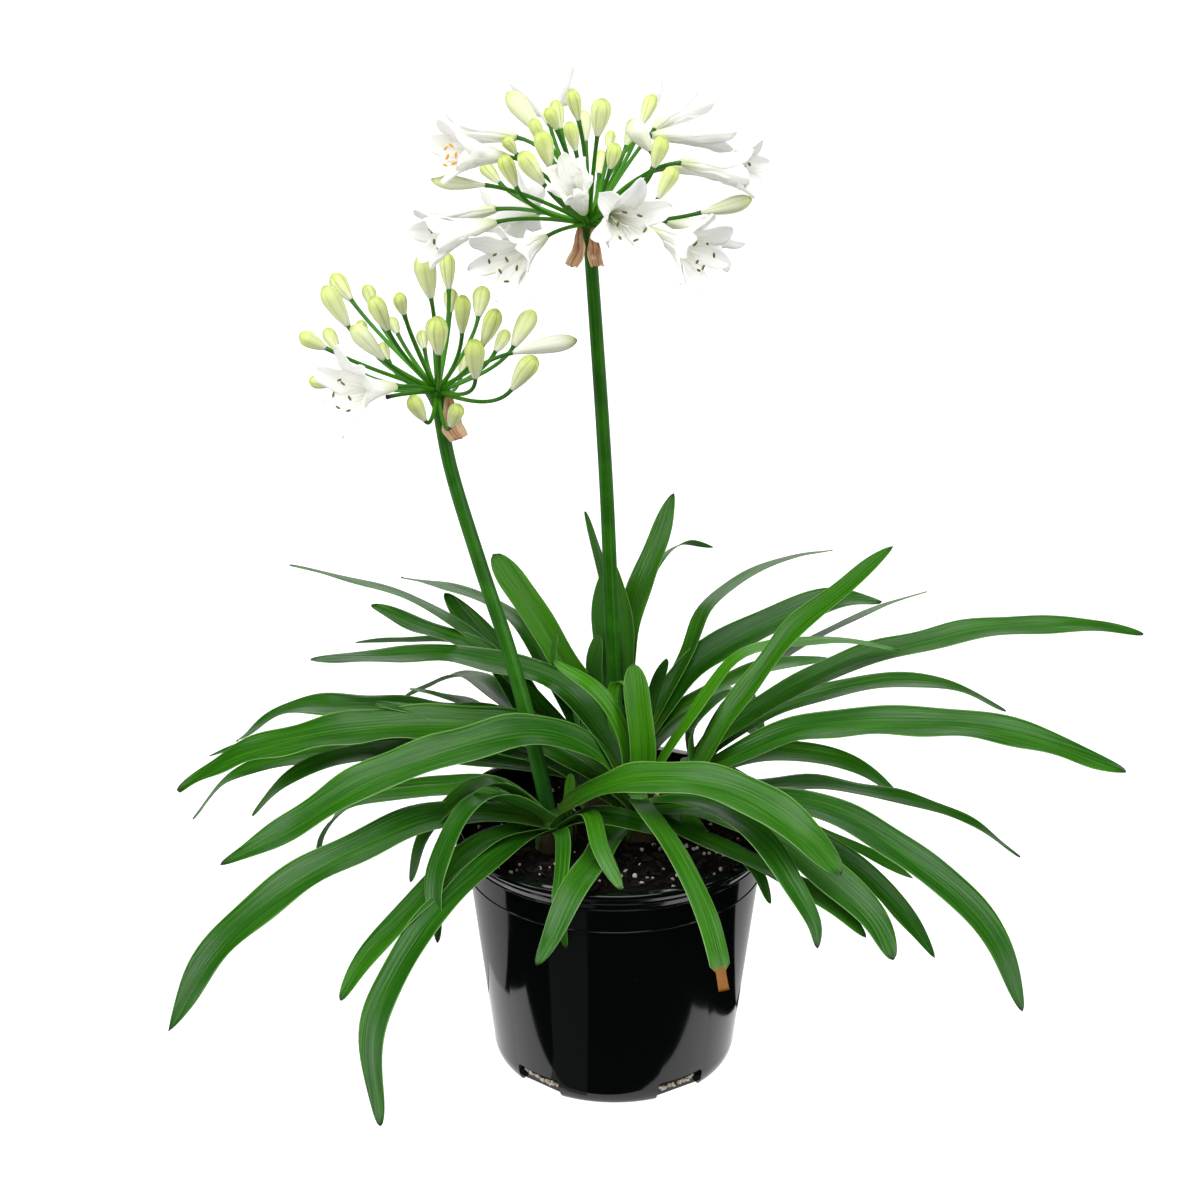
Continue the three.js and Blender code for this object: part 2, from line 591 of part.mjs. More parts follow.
// Forward and outward reach of the middle of a tepal, and its angle, at `s` along its free part.
function tepalMiddle(open, s) {
  const [root, middle, tip] = FLOWER.flare.map((a) => degToRad(a * open));
  const angleAt = (t) => (t < 0.5 ? lerp(root, middle, t * 2) : lerp(middle, tip, t * 2 - 1));
  let forward = FLOWER.tube;
  let out = FLOWER.mouth;
  for (let i = 0; i < FLOWER.strokes; i += 1) {
    const angle = angleAt(((i + 0.5) / FLOWER.strokes) * s);
    forward += (Math.cos(angle) * s * FLOWER.reach) / FLOWER.strokes;
    out += (Math.sin(angle) * s * FLOWER.reach) / FLOWER.strokes;
  }
  return { forward, out, angle: angleAt(s) };
}

// A point of a flower: `s` along the free part of a tepal, `u` across it and `v` through it.
function tepalPoint(flower, outward, s, u, v) {
  const { forward, out, angle } = tepalMiddle(flower.open, s);
  const across = new THREE.Vector3().crossVectors(flower.axis, outward);
  return flower.base.clone()
    .addScaledVector(flower.axis, forward + v * Math.sin(angle))
    .addScaledVector(outward, out - v * Math.cos(angle))
    .addScaledVector(across, u);
}

// A funnel of six tepals in one skin: a tube that widens from the stalk, whose rim is cut into
// tepals that curl outward. Its inner side runs down to an open throat.
function flower(hub, [compass, rise, length, facingCompass, facingRise, open]) {
  const axis = heading(facingCompass, facingRise);
  const base = hub.clone().addScaledVector(heading(compass, rise), length).addScaledVector(axis, GAP);
  const bloom = { axis, base, open };
  const across = new THREE.Vector3(axis.z, axis.x, axis.y).cross(axis).normalize();
  const outwardAt = (turn) => across.clone().applyAxisAngle(axis, (2 * Math.PI * turn) / FLOWER.tepals);
  const points = [];
  const index = [];
  const keep = (point) => points.push(point) - 1;
  const tri = (a, b, c) => index.push(a, b, c);
  const quad = (a, b, c, d) => index.push(a, b, c, a, c, d);
  const half = FLOWER.thickness / 2;
  const foot = keep(base.clone());
  const throat = keep(base.clone().addScaledVector(axis, FLOWER.tube - FLOWER.throat));
  const ring = Array.from({ length: FLOWER.tepals }, (_, i) => ({
    foot: keep(base.clone().addScaledVector(outwardAt(i + 0.5), FLOWER.neck)),
    notch: keep(base.clone().addScaledVector(axis, FLOWER.tube)
      .addScaledVector(outwardAt(i + 0.5), FLOWER.mouth)),
    back: keep(tepalPoint(bloom, outwardAt(i), 0, 0, -half)),
    front: keep(tepalPoint(bloom, outwardAt(i), 0, 0, half)),
  }));
  ring.forEach((here, i) => {
    const before = ring[(i + FLOWER.tepals - 1) % FLOWER.tepals];
    const outward = outwardAt(i);
    const width = FLOWER.width * (i % 2 ? 1 : FLOWER.outerWidth);
    tri(foot, here.foot, before.foot);
    quad(before.foot, here.foot, here.notch, here.back);
    tri(before.foot, here.back, before.notch);
    tri(throat, before.notch, here.front);
    tri(throat, here.front, here.notch);
    let root = { left: before.notch, right: here.notch, back: here.back, front: here.front };
    for (const [s, share] of TEPAL_SHAPE) {
      const u = Math.min((width * share) / 2, FLOWER.room * tepalMiddle(open, s).out);
      const v = 2 * u * FLOWER.cup;
      const next = {
        left: keep(tepalPoint(bloom, outward, s, -u, v)),
        right: keep(tepalPoint(bloom, outward, s, u, v)),
        back: keep(tepalPoint(bloom, outward, s, 0, -half)),
        front: keep(tepalPoint(bloom, outward, s, 0, half)),
      };
      quad(root.left, root.back, next.back, next.left);
      quad(root.back, root.right, next.right, next.back);
      quad(root.right, root.front, next.front, next.right);
      quad(root.front, root.left, next.left, next.front);
      root = next;
    }
    const tip = keep(tepalPoint(bloom, outward, 1, 0, 0));
    tri(root.left, root.back, tip);
    tri(root.back, root.right, tip);
    tri(root.right, root.front, tip);
    tri(root.front, root.left, tip);
  });
  return toGeometry(closed(points, index));
}

// Dry bract that hangs from the edge of the hub and flares away from the scape.
function bract(hub, [compass, width, length]) {
  const out = heading(compass);
  const across = heading(compass + 90);
  const thick = BRACT_THICKNESS / 2;
  return toGeometry(loft(BRACT_SHAPE.map(([s, share, flare]) => {
    const centre = hub.clone()
      .addScaledVector(out, HUB.radius + GAP + thick + flare)
      .addScaledVector(UP, -s * length);
    const half = (width * share) / 2;
    const point = (u, v) => centre.clone().addScaledVector(across, u).addScaledVector(out, v);
    return [point(half, thick), point(-half, thick), point(-half, -thick), point(half, -thick)];
  })));
}

// ------------------------------------------------------------------ assembly

// Colour and roughness of each material.
const BLACK_PLASTIC = [0x0b0c0c, 0.25];
const SOIL_BROWN = [0x1d1712, 0.95];
const LEAF_GREEN = [0x2f7a1f, 0.5];
const STEM_GREEN = [0x2c5f22, 0.55];
const PETAL_WHITE = [0xf6f6ef, 0.6];
const BRACT_TAN = [0xa8693f, 0.8];

const plant = new THREE.Group();

function add(name, geometry, look) {
  const mesh = new THREE.Mesh(geometry, material(look));
  mesh.name = name;
  plant.add(mesh);
}

add('pot', pot(), BLACK_PLASTIC);

const holes = joined([
  ...Object.values(FANS).map((fan) => neck(fan, GAP)),
  ...Object.values(SCAPES).map((one) => scape(one, GAP)),
]);
add('soil', toGeometry(soilBody().subtract(holes)), SOIL_BROWN);

for (const name of Object.keys(FANS)) {
  add(`leaves_${name}`, leafFan(name), LEAF_GREEN);
}

for (const name of Object.keys(SCAPES)) {
  const hub = hubOf(name);
  add(`flower_stem_${name}`, flowerStem(name), STEM_GREEN);
  BRACTS[name].forEach((row, i) => add(`bract_${name}_${i + 1}`, bract(hub, row), BRACT_TAN));
  FLOWERS[name].forEach((row, i) => add(`flower_${name}_${i + 1}`, flower(hub, row), PETAL_WHITE));
}

export default plant;
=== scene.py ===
"""A flowering agapanthus in a black nursery pot: its finished surfaces."""

import random
from bisect import bisect_right
from math import cos, exp, hypot, pi, radians, sin, sqrt, tau
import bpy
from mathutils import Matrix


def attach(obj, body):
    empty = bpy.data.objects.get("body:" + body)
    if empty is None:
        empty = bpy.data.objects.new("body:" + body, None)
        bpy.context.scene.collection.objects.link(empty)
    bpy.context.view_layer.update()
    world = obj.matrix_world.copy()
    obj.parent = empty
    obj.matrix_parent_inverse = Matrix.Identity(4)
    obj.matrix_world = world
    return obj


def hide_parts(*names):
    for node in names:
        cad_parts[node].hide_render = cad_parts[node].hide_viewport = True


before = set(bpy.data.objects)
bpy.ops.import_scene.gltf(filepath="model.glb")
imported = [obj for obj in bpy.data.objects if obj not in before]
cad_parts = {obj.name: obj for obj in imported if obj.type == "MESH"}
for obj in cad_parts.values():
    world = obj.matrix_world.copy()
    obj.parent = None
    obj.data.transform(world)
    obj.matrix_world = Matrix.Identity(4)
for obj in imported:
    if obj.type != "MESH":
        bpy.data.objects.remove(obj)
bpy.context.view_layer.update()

from types import SimpleNamespace as Sizes

import bmesh
import bpy
from mathutils import Quaternion, Vector, noise

# Shapes are worked out in millimetres, +Z up, from the middle of the pot's underside.
# +X is to the right and +Y away when the plant is seen from its front.
MM = 0.001
UP = Vector((0, 0, 1))

# ----- dimensions

GAP = 0.3  # clearance between touching pieces

POT = Sizes(
    height=150, lip_radius=95, lip_width=6, lip_depth=3,
    collar_radius=88.5,  # at the ring under the lip
    collar_ring=137, upper_ring=142,
    step_radius=86,  # lower edge of the flared collar
    step_height=122,
    under_step=1.28,  # how far below that edge the collar meets the wall
    wall_top=84,  # wall radius just under the collar
    wall_bottom=71,  # wall radius where the foot starts to round
    foot_height=12,
    foot_radius=66,  # flat circle that the pot stands on
    wall=2, floor=3,
    ring=0.8,  # height of the moulded rings
    bead=0.45,  # radius of a fine moulded bead
    segments=180,
    sharp=35,  # edges sharper than this angle aren't shaded smooth
)
SLOT = Sizes(count=5, first=15, width=30, height=12.5, depth=16, corner=2.5)
SOIL = Sizes(
    top=138,
    crown=2,  # how much higher the middle stands than the edge
    wall_drop=2,  # fall of the surface near the wall, and the width of that slope
    slope=16, edge=6,
    lumps=[(0.07, 1.92, 3), (0.3, 1.12, 9)],  # how close they lie, their height, a layer of noise
    sides=120, rings=44,
    middle=0.4,  # radius of the innermost ring
    clearance=2,  # crumbs lie this far from a neck or scape, and this far from the edge
    bare_edge=3,
)
CRUMB_ROUGHNESS = (0.72, 1.15)  # share of a crumb's radius that its corners stand out
BARK = Sizes(
    seed=11, count=620, size=(0.9, 2.4), stretch=[(1.2, 2.6), (0.6, 1.0), (0.35, 0.6)],
    lift=0.3,  # height of a chip's middle over the soil, as a share of its size
    sharp=30,
)
PERLITE = Sizes(
    seed=12, count=190, size=(0.5, 1.5), lift=0.5,
    stain=0.6,  # how brown the brownest grain on the soil is
    slot_count=70,  # grains that show in one drain slot
    slot_size=(0.5, 1.1),
    slot_spread=(-12, 10),  # in degrees from the slot's middle
    slot_fill=0.6,  # share of the slot's height
    slot_depth=0.7,
)

# Each fan of leaves grows from one neck: where it stands, how high the neck is above
# the soil, its half width along the fan and across it, and the fan's compass direction.
FANS = {
    "front_left": Sizes(x=-34, y=-16, neck=22, long=11, short=8, plane=25),
    "back_left": Sizes(x=-12, y=34, neck=30, long=11, short=8, plane=150),
    "middle": Sizes(x=12, y=-4, neck=28, long=11, short=8, plane=165),
    "right": Sizes(x=38, y=6, neck=26, long=11, short=8, plane=170),
    "back": Sizes(x=16, y=60, neck=34, long=10, short=7, plane=60),
    "back_right": Sizes(x=44, y=40, neck=28, long=10, short=7, plane=30),
}
PLANTED = 14  # how deep a neck or scape stands in the soil
NECK = Sizes(
    sides=44, rings=16,
    straight=0.4,  # share of its height below which it doesn't narrow
    top_share=0.6, ridge=0.05, ridges=5, twist=0.12,
)
# Dry leaf bases round a neck: half of the angle that one covers, how high it reaches as a share
# of the neck's height, and how far it stands off the neck at its foot and curls off at its top.
HUSK = Sizes(
    count=4, half=(0.6, 1.1), top=(0.45, 0.9), lift=(0.7, 1.3), curl=1.6, narrowing=0.75,
    ragged=0.14, sunk=4, thickness=0.5, across=7, along=10,
)

LEAF = Sizes(
    step=5,  # length of one facet along the blade
    least_steps=16,
    crowding=1.3,  # how much the facets close up towards the tip
    across=6,  # facets across half the blade
    midrib=(1.5, 0.8),  # thickness at the midrib, at the neck and at the tip
    edge=0.35,  # thickness at the edges
    bulge=0.7,  # how soon the blade thins from its midrib to its edges
    edge_round=0.5,  # share of the edges' thickness that their rounding leaves
    channel=(0.26, 0.06),  # depth of the channel as a share of the width, neck and tip
    channel_curve=1.35,  # 1 folds the blade to a V, 2 rounds it to a U
    narrow=14,  # a leaf no wider than this is nearly flat
    narrow_channel=0.35,
    neck_width=0.6,  # width at the neck as a share of the full width
    full_at=0.4,  # where along the blade the full width is reached
    tip=0.6,  # width left at the tip
    point=0.52,  # how sharply the tip narrows
    out=2,  # where a blade starts in its neck, and where it bends
    bend_out=5, sunk=8,
    high_way=60,  # first way point's height above the soil from which a blade leaves the top
    low_share=0.5,  # share of the neck's height that the lowest blades leave it at
    ripple=0.05,  # height of the waves along the edges, as a share of the width
    ripple_share=(0.3, 1.0),  # share of that height in the calmest and liveliest leaf
    ripple_length=(38, 75),
    sway=0.9,  # how far the blade wanders from its even curve
    sway_length=(60, 120),
    wave_growth=3,  # waves are whole at a third of the way
)

# Leaves, fan by fan: width, roll in degrees, where the taper starts, then the way points
# that the midrib passes through from the neck to the tip.
LEAVES = {
    "front_left": [
        [16, 0, 0.6, [-75, -5, 166], [-119, 5, 159], [-150, 5, 154], [-167, 10, 134],
         [-173, 15, 99]],
        [17, -20, 0.8, [-65, -2, 166], [-100, 12, 161], [-132, 20, 156]],
        [25, -10, 0.65, [-95, -48, 172], [-155, -90, 166], [-206, -120, 141], [-240, -140, 93]],
        [18, 10, 0.6, [-72, -30, 185], [-104, -50, 164], [-114, -60, 140]],
        [16, 15, 0.6, [-75, -50, 185], [-96, -85, 160], [-97, -110, 130]],
        [19, 5, 0.65, [-68, -45, 158], [-96, -78, 149], [-128, -118, 132], [-147, -140, 112]],
        [20, 10, 0.6, [-66, -66, 156], [-104, -118, 139], [-126, -158, 112], [-124, -190, 66]],
        [9, 25, 0.6, [-29, -50, 164], [-30, -87, 158], [-31, -99, 150], [-26, -106, 124]],
        [10, 5, 0.75, [-15, -42, 173], [-7, -72, 167], [3, -93, 153]],
        [25, 20, 0.7, [15, -50, 197], [65, -70, 200], [100, -95, 190], [120, -110, 171]],
        [16, 10, 0.7, [-13, -32, 166], [7, -40, 167], [27, -47, 163]],
        [6, 40, 0.8, [-27, -12, 166], [-25, -9, 182]],
    ],
    "back_left": [
        [13, 10, 0.5, [-22, 55, 200], [-54, 70, 208], [-105, 92, 238], [-160, 116, 249],
         [-195, 131, 251]],
        [16, 10, 0.6, [-41, 66, 213], [-56, 88, 230], [-75, 108, 236], [-101, 130, 237],
         [-130, 150, 235]],
        [20, -15, 0.6, [-44, 64, 179], [-68, 92, 204], [-101, 125, 236]],
        [18, 0, 0.8, [-44, 54, 191], [-80, 68, 223], [-120, 85, 233], [-144, 95, 240]],
        [15, 30, 0.6, [-45, 75, 183], [-85, 115, 204], [-130, 145, 195], [-160, 165, 185]],
        [19, 5, 0.5, [-50, 80, 170], [-90, 125, 180], [-130, 160, 150]],
        [14, 10, 0.6, [-50, 70, 165], [-90, 110, 170], [-125, 140, 165]],
        [16, 0, 0.6, [-80, 62, 159], [-150, 82, 158], [-210, 92, 153], [-245, 100, 139]],
        [19, -5, 0.65, [-85, 45, 165], [-160, 55, 162], [-228, 65, 141], [-253, 70, 111]],
        [19, -10, 0.65, [-75, 28, 170], [-135, 32, 174], [-189, 34, 157], [-213, 40, 129]],
        [10, 25, 0.8, [-26, 38, 208], [-35, 40, 228], [-33, 36, 250]],
        [16, 0, 0.6, [-38, 92, 164], [-56, 125, 148], [-70, 150, 120]],
        [16, 0, 0.6, [-16, 92, 166], [-26, 128, 138], [-32, 150, 100]],
    ],
    "middle": [
        [23, -5, 0.55, [-25, 19, 216], [-85, 48, 226], [-145, 73, 216], [-180, 88, 208]],
        [22, -10, 0.65, [-50, 38, 184], [-125, 60, 187], [-190, 75, 182], [-227, 90, 154]],
        [27, -20, 0.55, [-60, 27, 190], [-145, 26, 191], [-215, 35, 172], [-256, 40, 145]],
        [26, -20, 0.5, [-15, -10, 195], [-50, -26, 213], [-125, -55, 204], [-180, -70, 178],
         [-215, -85, 164]],
        [16, -5, 0.6, [-5, -45, 154], [-20, -97, 158], [-34, -122, 142], [-43, -130, 128]],
        [13, -10, 0.9, [14, -46, 182], [28, -72, 175], [42, -105, 161], [54, -140, 140],
         [58, -150, 124]],
        [16, 5, 0.6, [60, -60, 183], [88, -98, 172], [105, -122, 150], [107, -130, 138]],
        [22, 15, 0.7, [62, -38, 170], [106, -78, 163], [137, -110, 146], [149, -128, 130]],
        [16, -5, 0.8, [46, -52, 161], [88, -83, 157], [118, -104, 147], [135, -118, 138]],
        [16, 15, 0.8, [15, 0, 190], [13, 4, 222], [10, 8, 242]],
        [11, -30, 0.6, [5, 0, 200], [-10, 0, 230], [-35, 5, 245]],
        [13, -10, 0.6, [-30, 20, 170], [-75, 30, 183], [-110, 36, 198], [-139, 40, 203]],
        [11, 5, 0.5, [38, 8, 200], [54, 20, 220], [74, 26, 240], [119, 34, 245], [163, 38, 237]],
        [7, -20, 0.7, [0, 14, 200], [0, 18, 221], [3, 18, 227], [8, 17, 224]],
    ],
    "right": [
        [10, 0, 0.6, [54, -44, 154], [68, -61, 158], [79, -72, 151], [86, -77, 136]],
        [18, 5, 0.6, [85, -25, 156], [130, -50, 146], [161, -75, 126], [176, -90, 109]],
        [12, 0, 0.85, [85, 0, 155], [122, -5, 140], [150, -10, 128], [171, -15, 118]],
        [22, 10, 0.6, [108, -40, 175], [167, -90, 165], [204, -125, 138], [217, -146, 109]],
        [18, 0, 0.6, [100, 20, 158], [160, 24, 149], [207, 28, 131], [239, 28, 108]],
        [25, 15, 0.6, [105, -10, 206], [185, -30, 221], [245, -40, 213], [281, -50, 203]],
        [16, 25, 0.6, [70, 10, 215], [100, 10, 260], [135, 15, 292], [155, 15, 310]],
    ],
    "back_right": [
        [19, 15, 0.6, [90, 50, 164], [140, 60, 152], [175, 70, 122]],
        [18, 5, 0.65, [95, 60, 187], [150, 75, 197], [202, 90, 189], [236, 100, 169]],
        [20, 15, 0.5, [115, 45, 214], [190, 45, 241], [255, 48, 248], [305, 50, 242]],
        [11, -15, 0.5, [70, 76, 189], [120, 100, 217], [160, 125, 226], [190, 140, 230]],
        [16, 0, 0.6, [66, 78, 166], [84, 108, 150], [94, 128, 130]],
        [20, -20, 0.8, [46, 45, 182], [58, 48, 197], [69, 51, 205]],
    ],
    "back": [
        [18, -50, 0.85, [-20, 52, 208], [-45, 55, 248], [-69, 60, 288]],
        [22, 20, 0.6, [45, 78, 203], [88, 92, 228], [130, 102, 240], [160, 110, 236]],
        [14, -15, 0.55, [44, 88, 213], [54, 112, 230], [73, 130, 239], [96, 145, 247],
         [135, 170, 245]],
        [9, 5, 0.7, [22, 45, 205], [30, 20, 240]],
        [12, 10, 0.7, [-2, 70, 213], [-6, 75, 265], [-17, 85, 304]],
        [12, 40, 0.7, [-2, 64, 196], [-9, 60, 241], [-7, 58, 277]],
        [12, 10, 0.6, [8, 51, 206], [6, 49, 250], [0, 49, 286]],
        [17, 10, 0.65, [7, 60, 208], [13, 65, 252], [26, 70, 295], [34.5, 75, 319]],
        [11, -35, 0.5, [9, 90, 222], [24, 120, 253], [43, 140, 262], [60, 150, 255]],
        [18, 0, 0.5, [-4, 125, 168], [-12, 185, 145], [-20, 235, 80]],
        [18, 0, 0.5, [55, 118, 166], [80, 178, 145], [97, 228, 80]],
        [17, 0, 0.75, [33, 62, 181], [61, 70, 197], [90, 76, 208], [127, 84, 211]],
        [14, 20, 0.75, [-8, 50, 200], [-12, 50, 220], [-9, 50, 242]],
    ],
}
# How young and yellow-green single leaves are, by fan and row. The others are 0.
FRESH = {
    "front_left": {8: 0.5, 9: 0.15, 11: 1.0},
    "middle": {5: 0.35, 9: 0.75, 10: 0.8, 12: 0.7, 13: 1.0},
    "right": {6: 0.35},
    "back": {0: 0.9, 6: 0.5, 7: 0.3, 11: 0.2},
}
# Dried square-cut tips, by fan and row. The fade is the length over which the green ends.
CUT_TIPS = {"middle": {5: Sizes(length=13, width=6.5, fade=1.5)}}

SCAPES = {
    "tall": Sizes(way=[[3, 41, 140], [0, 38, 212], [-5, 30, 344], [-14, 20, 489]], radius=(4.6, 3.6)),
    "left": Sizes(way=[[-37, -2, 145], [-46.5, 0, 198], [-59, 5, 250], [-75, 12, 301], [-91, 18, 358],
                       [-97, 20, 395]], radius=(4.8, 3.8)),
}
SCAPE = Sizes(
    sides=28, steps=90,
    base=0.98,  # the radius between the ridges, as a share
    ridge=0.035, ridges=9, twist=1.2, oval=0.04, oval_turn=0.6,
)
# Swollen top of a scape, with the share of its height and its radius there.
HUB = Sizes(
    radius=7, below=8, above=5, sides=36, steps=18, groove=0.05, grooves=11,
    wraps=3,  # how often its streaks repeat round it
)
HUB_OUTLINE = [(0.3, 5.4), (0.55, 6.9), (0.7, 6.9), (0.85, 5.4), (0.95, 3.2), (1.0, 0.6)]
STALK = Sizes(
    radius=1.1,
    root=1.7,  # radius where it leaves the hub, and how fast it thins from there
    flare=9, end=1.35,
    knob=0.9,  # where the end starts to swell
    blackened=0.08,  # share over which a cut stalk's end turns black
    sunk=4, sag=0.3, steps=16, sides=10,
)
# Stalks whose flowers have dropped: direction, rise, length, and the end's direction and rise.
CUT_STALKS = {"tall": [], "left": [[230, 10, 40, 222, 2]]}

# Buds: compass direction and rise of the line from the hub to the stalk's end, length of that
# line, compass direction and rise that the bud points, its length, its width and how white it is.
BUDS = {
    "tall": [
        [145, 55, 55, 155, 45, 28, 11, 0.35],
        [225, 55, 60, 200, 70, 15, 7, 0],
        [240, 45, 58, 235, 70, 21, 10, 0],
        [230, 65, 62, 210, 65, 13, 7, 0],
        [125, 60, 53, 120, 65, 16, 8, 0],
        [250, 75, 62, 205, 75, 17, 8, 0],
        [255, 60, 54, 235, 70, 17, 8, 0],
        [95, 60, 45, 100, 65, 17, 8, 0.3],
        [280, 65, 60, 300, 75, 21, 11, 0.15],
        [65, 55, 42, 75, 60, 11, 6, 0],
        [290, 50, 50, 305, 70, 15, 8, 0],
        [35, 55, 60, 45, 60, 17, 8, 0],
        [60, 40, 52, 60, 50, 13, 7, 0],
        [315, 40, 62, 320, 70, 18, 9, 0],
        [310, 25, 62, 325, 60, 20, 9, 0.1],
        [210, 45, 62, 195, 55, 11, 7, 0],
        [225, 30, 62, 215, 65, 19, 9, 0],
        [240, 35, 58, 210, 55, 22, 10, 0.1],
        [205, 25, 66, 195, 10, 29, 8, 0.6],
        [335, 12, 66, 350, 18, 28, 9, 0.6],
        [325, 50, 60, 200, 55, 20, 11, 1],
        [110, 15, 60, 115, 40, 16, 8, 0],
        [85, 10, 62, 85, 35, 17, 8, 0],
        [150, 15, 58, 150, 40, 15, 8, 0],
    ],
    "left": [
        [145, 35, 72, 145, 45, 18, 10, 0],
        [190, 40, 62, 170, 60, 25, 11, 0.1],
        [130, 30, 66, 120, 50, 15, 8, 0],
        [150, 10, 66, 130, 45, 16, 8, 0],
        [190, 25, 66, 180, 30, 16, 9, 0],
        [155, -5, 66, 165, 5, 14, 8, 0],
        [135, 15, 60, 120, 45, 13, 7, 0],
        [230, 35, 50, 210, 50, 28, 10, 0.5],
        [120, 0, 60, 115, 35, 13, 7, 0],
        [230, 50, 58, 220, 65, 22, 10, 0.1],
        [115, 15, 60, 120, 35, 12, 7, 0],
        [120, 40, 50, 130, 60, 13, 7, 0],
        [240, 60, 60, 220, 75, 13, 7, 0],
        [100, 5, 58, 100, 30, 14, 7, 0],
        [265, 75, 60, 200, 80, 25, 12, 0.1],
        [75, 65, 56, 100, 75, 20, 9, 0],
        [80, 45, 48, 85, 60, 14, 8, 0],
        [95, 20, 38, 95, 50, 18, 9, 0],
        [275, 40, 55, 270, 75, 23, 11, 0],
        [50, 45, 48, 75, 55, 18, 10, 0],
        [295, 50, 58, 280, 75, 23, 9, 0],
        [305, 40, 62, 320, 65, 23, 10, 0],
        [300, 25, 50, 270, 75, 24, 11, 0],
        [40, 15, 55, 55, 40, 25, 11, 0.1],
        [10, 25, 46, 5, 10, 36, 10, 0.9],
        [315, 15, 62, 335, 55, 24, 11, 0.1],
        [285, -15, 34, 320, 65, 15, 9, 0],
        [260, -10, 32, 225, 60, 18, 9, 0],
        [60, 5, 60, 60, 35, 16, 8, 0],
        [80, -10, 60, 80, 30, 16, 8, 0],
    ],
}
BUD = Sizes(
    sides=24, steps=22, crowding=1.25,
    seam=0.07,  # depth of a seam as a share of the radius
    seam_lead=0.1,  # the seams start this share before the bud
    seams=6, bow=0.6,
    slim=2.7,  # a bud longer than this many widths is slimmer at its foot, up to a share
    slim_foot=0.7, slim_to=0.6,
)
# Share of a bud's length and its radius there as a share of its width, from stalk to tip.
BUD_OUTLINE = [(0.0, 0.16), (0.08, 0.22), (0.28, 0.36), (0.5, 0.46), (0.7, 0.5), (0.85, 0.41),
               (0.94, 0.26), (0.985, 0.12), (1.0, 0.03)]

# Open flowers: direction, rise and length of the line to the stalk's end, direction and rise
# that the flower faces, how far it is open and how ripe (dark) its anthers are, or None
# in a crumpled flower that hides them.
FLOWERS = {
    "tall": [
        [200, 42, 60, 215, 12, 0.6, 0],
        [150, 0, 58, 165, -10, 0.6, 0.6],
        [215, 10, 60, 210, -5, 0.55, 0.6],
        [240, 5, 45, 232, -10, 0.9, 0.7],
        [262, 30, 22, 256, 42, 0.4, None],
        [115, 40, 66, 95, 15, 0.8, 0.8],
        [130, 30, 70, 160, 5, 0.7, 0.7],
        [55, 32, 72, 64, 12, 0.7, 0.9],
        [42, 42, 60, 15, 0, 0.5, 0.7],
        [50, 15, 66, 25, 0, 0.6, 0.8],
        [335, 36, 66, 335, 2, 0.5, 0.6],
        [45, -10, 60, 25, -20, 0.8, 0.8],
        [285, 22, 42, 288, 8, 1, 0.5],
        [305, 10, 55, 320, -10, 0.9, 0.9],
        [118, -8, 60, 115, -12, 0.9, 0.8],
        [80, -10, 60, 78, -12, 0.9, 0.8],
    ],
    "left": [[244, 20, 47, 222, 8, 1, 0.6]],
}
FLOWER = Sizes(
    tube=13,  # length of the closed tube
    neck=1.6,  # radius at the stalk
    mouth=4.4,  # radius where the tepals part
    funnel=0.8,  # how soon the tube widens
    sector=0.53,  # half a tepal's width in the tube, as a share of the radius
    tube_steps=8, tepals=6,
    reach=32,  # length of the free part of a tepal
    width=13.5,
    outer_width=0.85,  # outer tepals are narrower than inner ones, as a share
    outer_shift=0.5,  # outer tepals stand outside the inner ones
    thickness=(0.55, 0.22),  # at the midvein and at the edges
    cup=0.18,  # how far a tepal's edges stand in front of its middle, as a share of its width
    midvein=(0.35, 0.16),  # depth of its groove and its width as a share of half the tepal
    flare=(16, 36, 66),  # angle from the axis at the tepal's root, middle and tip, degrees
    uneven=(0.88, 1.12),  # least and most share of those angles
    lean=1.2,  # how far a tip stands to one side
    along=26,
    across=5,  # facets across half a tepal
    ruffle=0.9,  # height of the waves along the edges
    outer_ruffle=0.6,  # share of it on outer tepals
    waves=(1.6, 2.6),
    wave_growth=2,  # waves are whole at half of the way
    crumple=3.2,  # how much more the tepals of a crumpled flower are ruffled
)
# Share of the free part's length and share of the full width there.
TEPAL_OUTLINE = [(0.0, 0.42), (0.15, 0.68), (0.4, 1.0), (0.62, 1.02), (0.82, 0.84), (0.93, 0.56),
                 (0.98, 0.3), (1.0, 0.1)]
STAMEN = Sizes(
    start=9, length=28, uneven=(0.85, 1.05),
    style_length=0.9,  # the style's length and spread as shares of a stamen's
    spread=2.6, style_spread=0.2,
    opening=1.9,  # how much more the stamens spread in an open flower
    root=0.7,  # share of the spread that it has at its root
    middle=(0.55, 0.4),  # shares of the length and of the spread at its bend
    end=0.8, sag=1.5, end_sag=(0.5, 3.0), radius=0.38, taper=(1.1, 0.6), sides=6, steps=12,
    anther=1.7, anther_radius=0.65,
    stigma=(0.7, 0.5),  # half its length, and its radius
)

# Bracts: compass direction, width and length. The outline has the share of the length, the share
# of the width there, and how far the bract stands off the hub.
BRACTS = {"tall": [[232, 10, 20], [286, 8, 19]], "left": [[320, 16, 24]]}
BRACT_OUTLINE = [(0.0, 0.3, 0.2), (0.04, 0.35, 0.2), (0.3, 0.6, 0.7), (0.75, 1.0, 2.5), (1.0, 0.9, 8.0)]
BRACT = Sizes(
    thickness=0.4, across=9, along=30,
    crumple=1.7,  # depth of the crumples, and how many lie across and along
    crumples=(1.6, 3.2), pleat=0.35, pleats=7,
    wrap=0.25,  # how much its upper part wraps round the hub
    ragged=1.2,
)

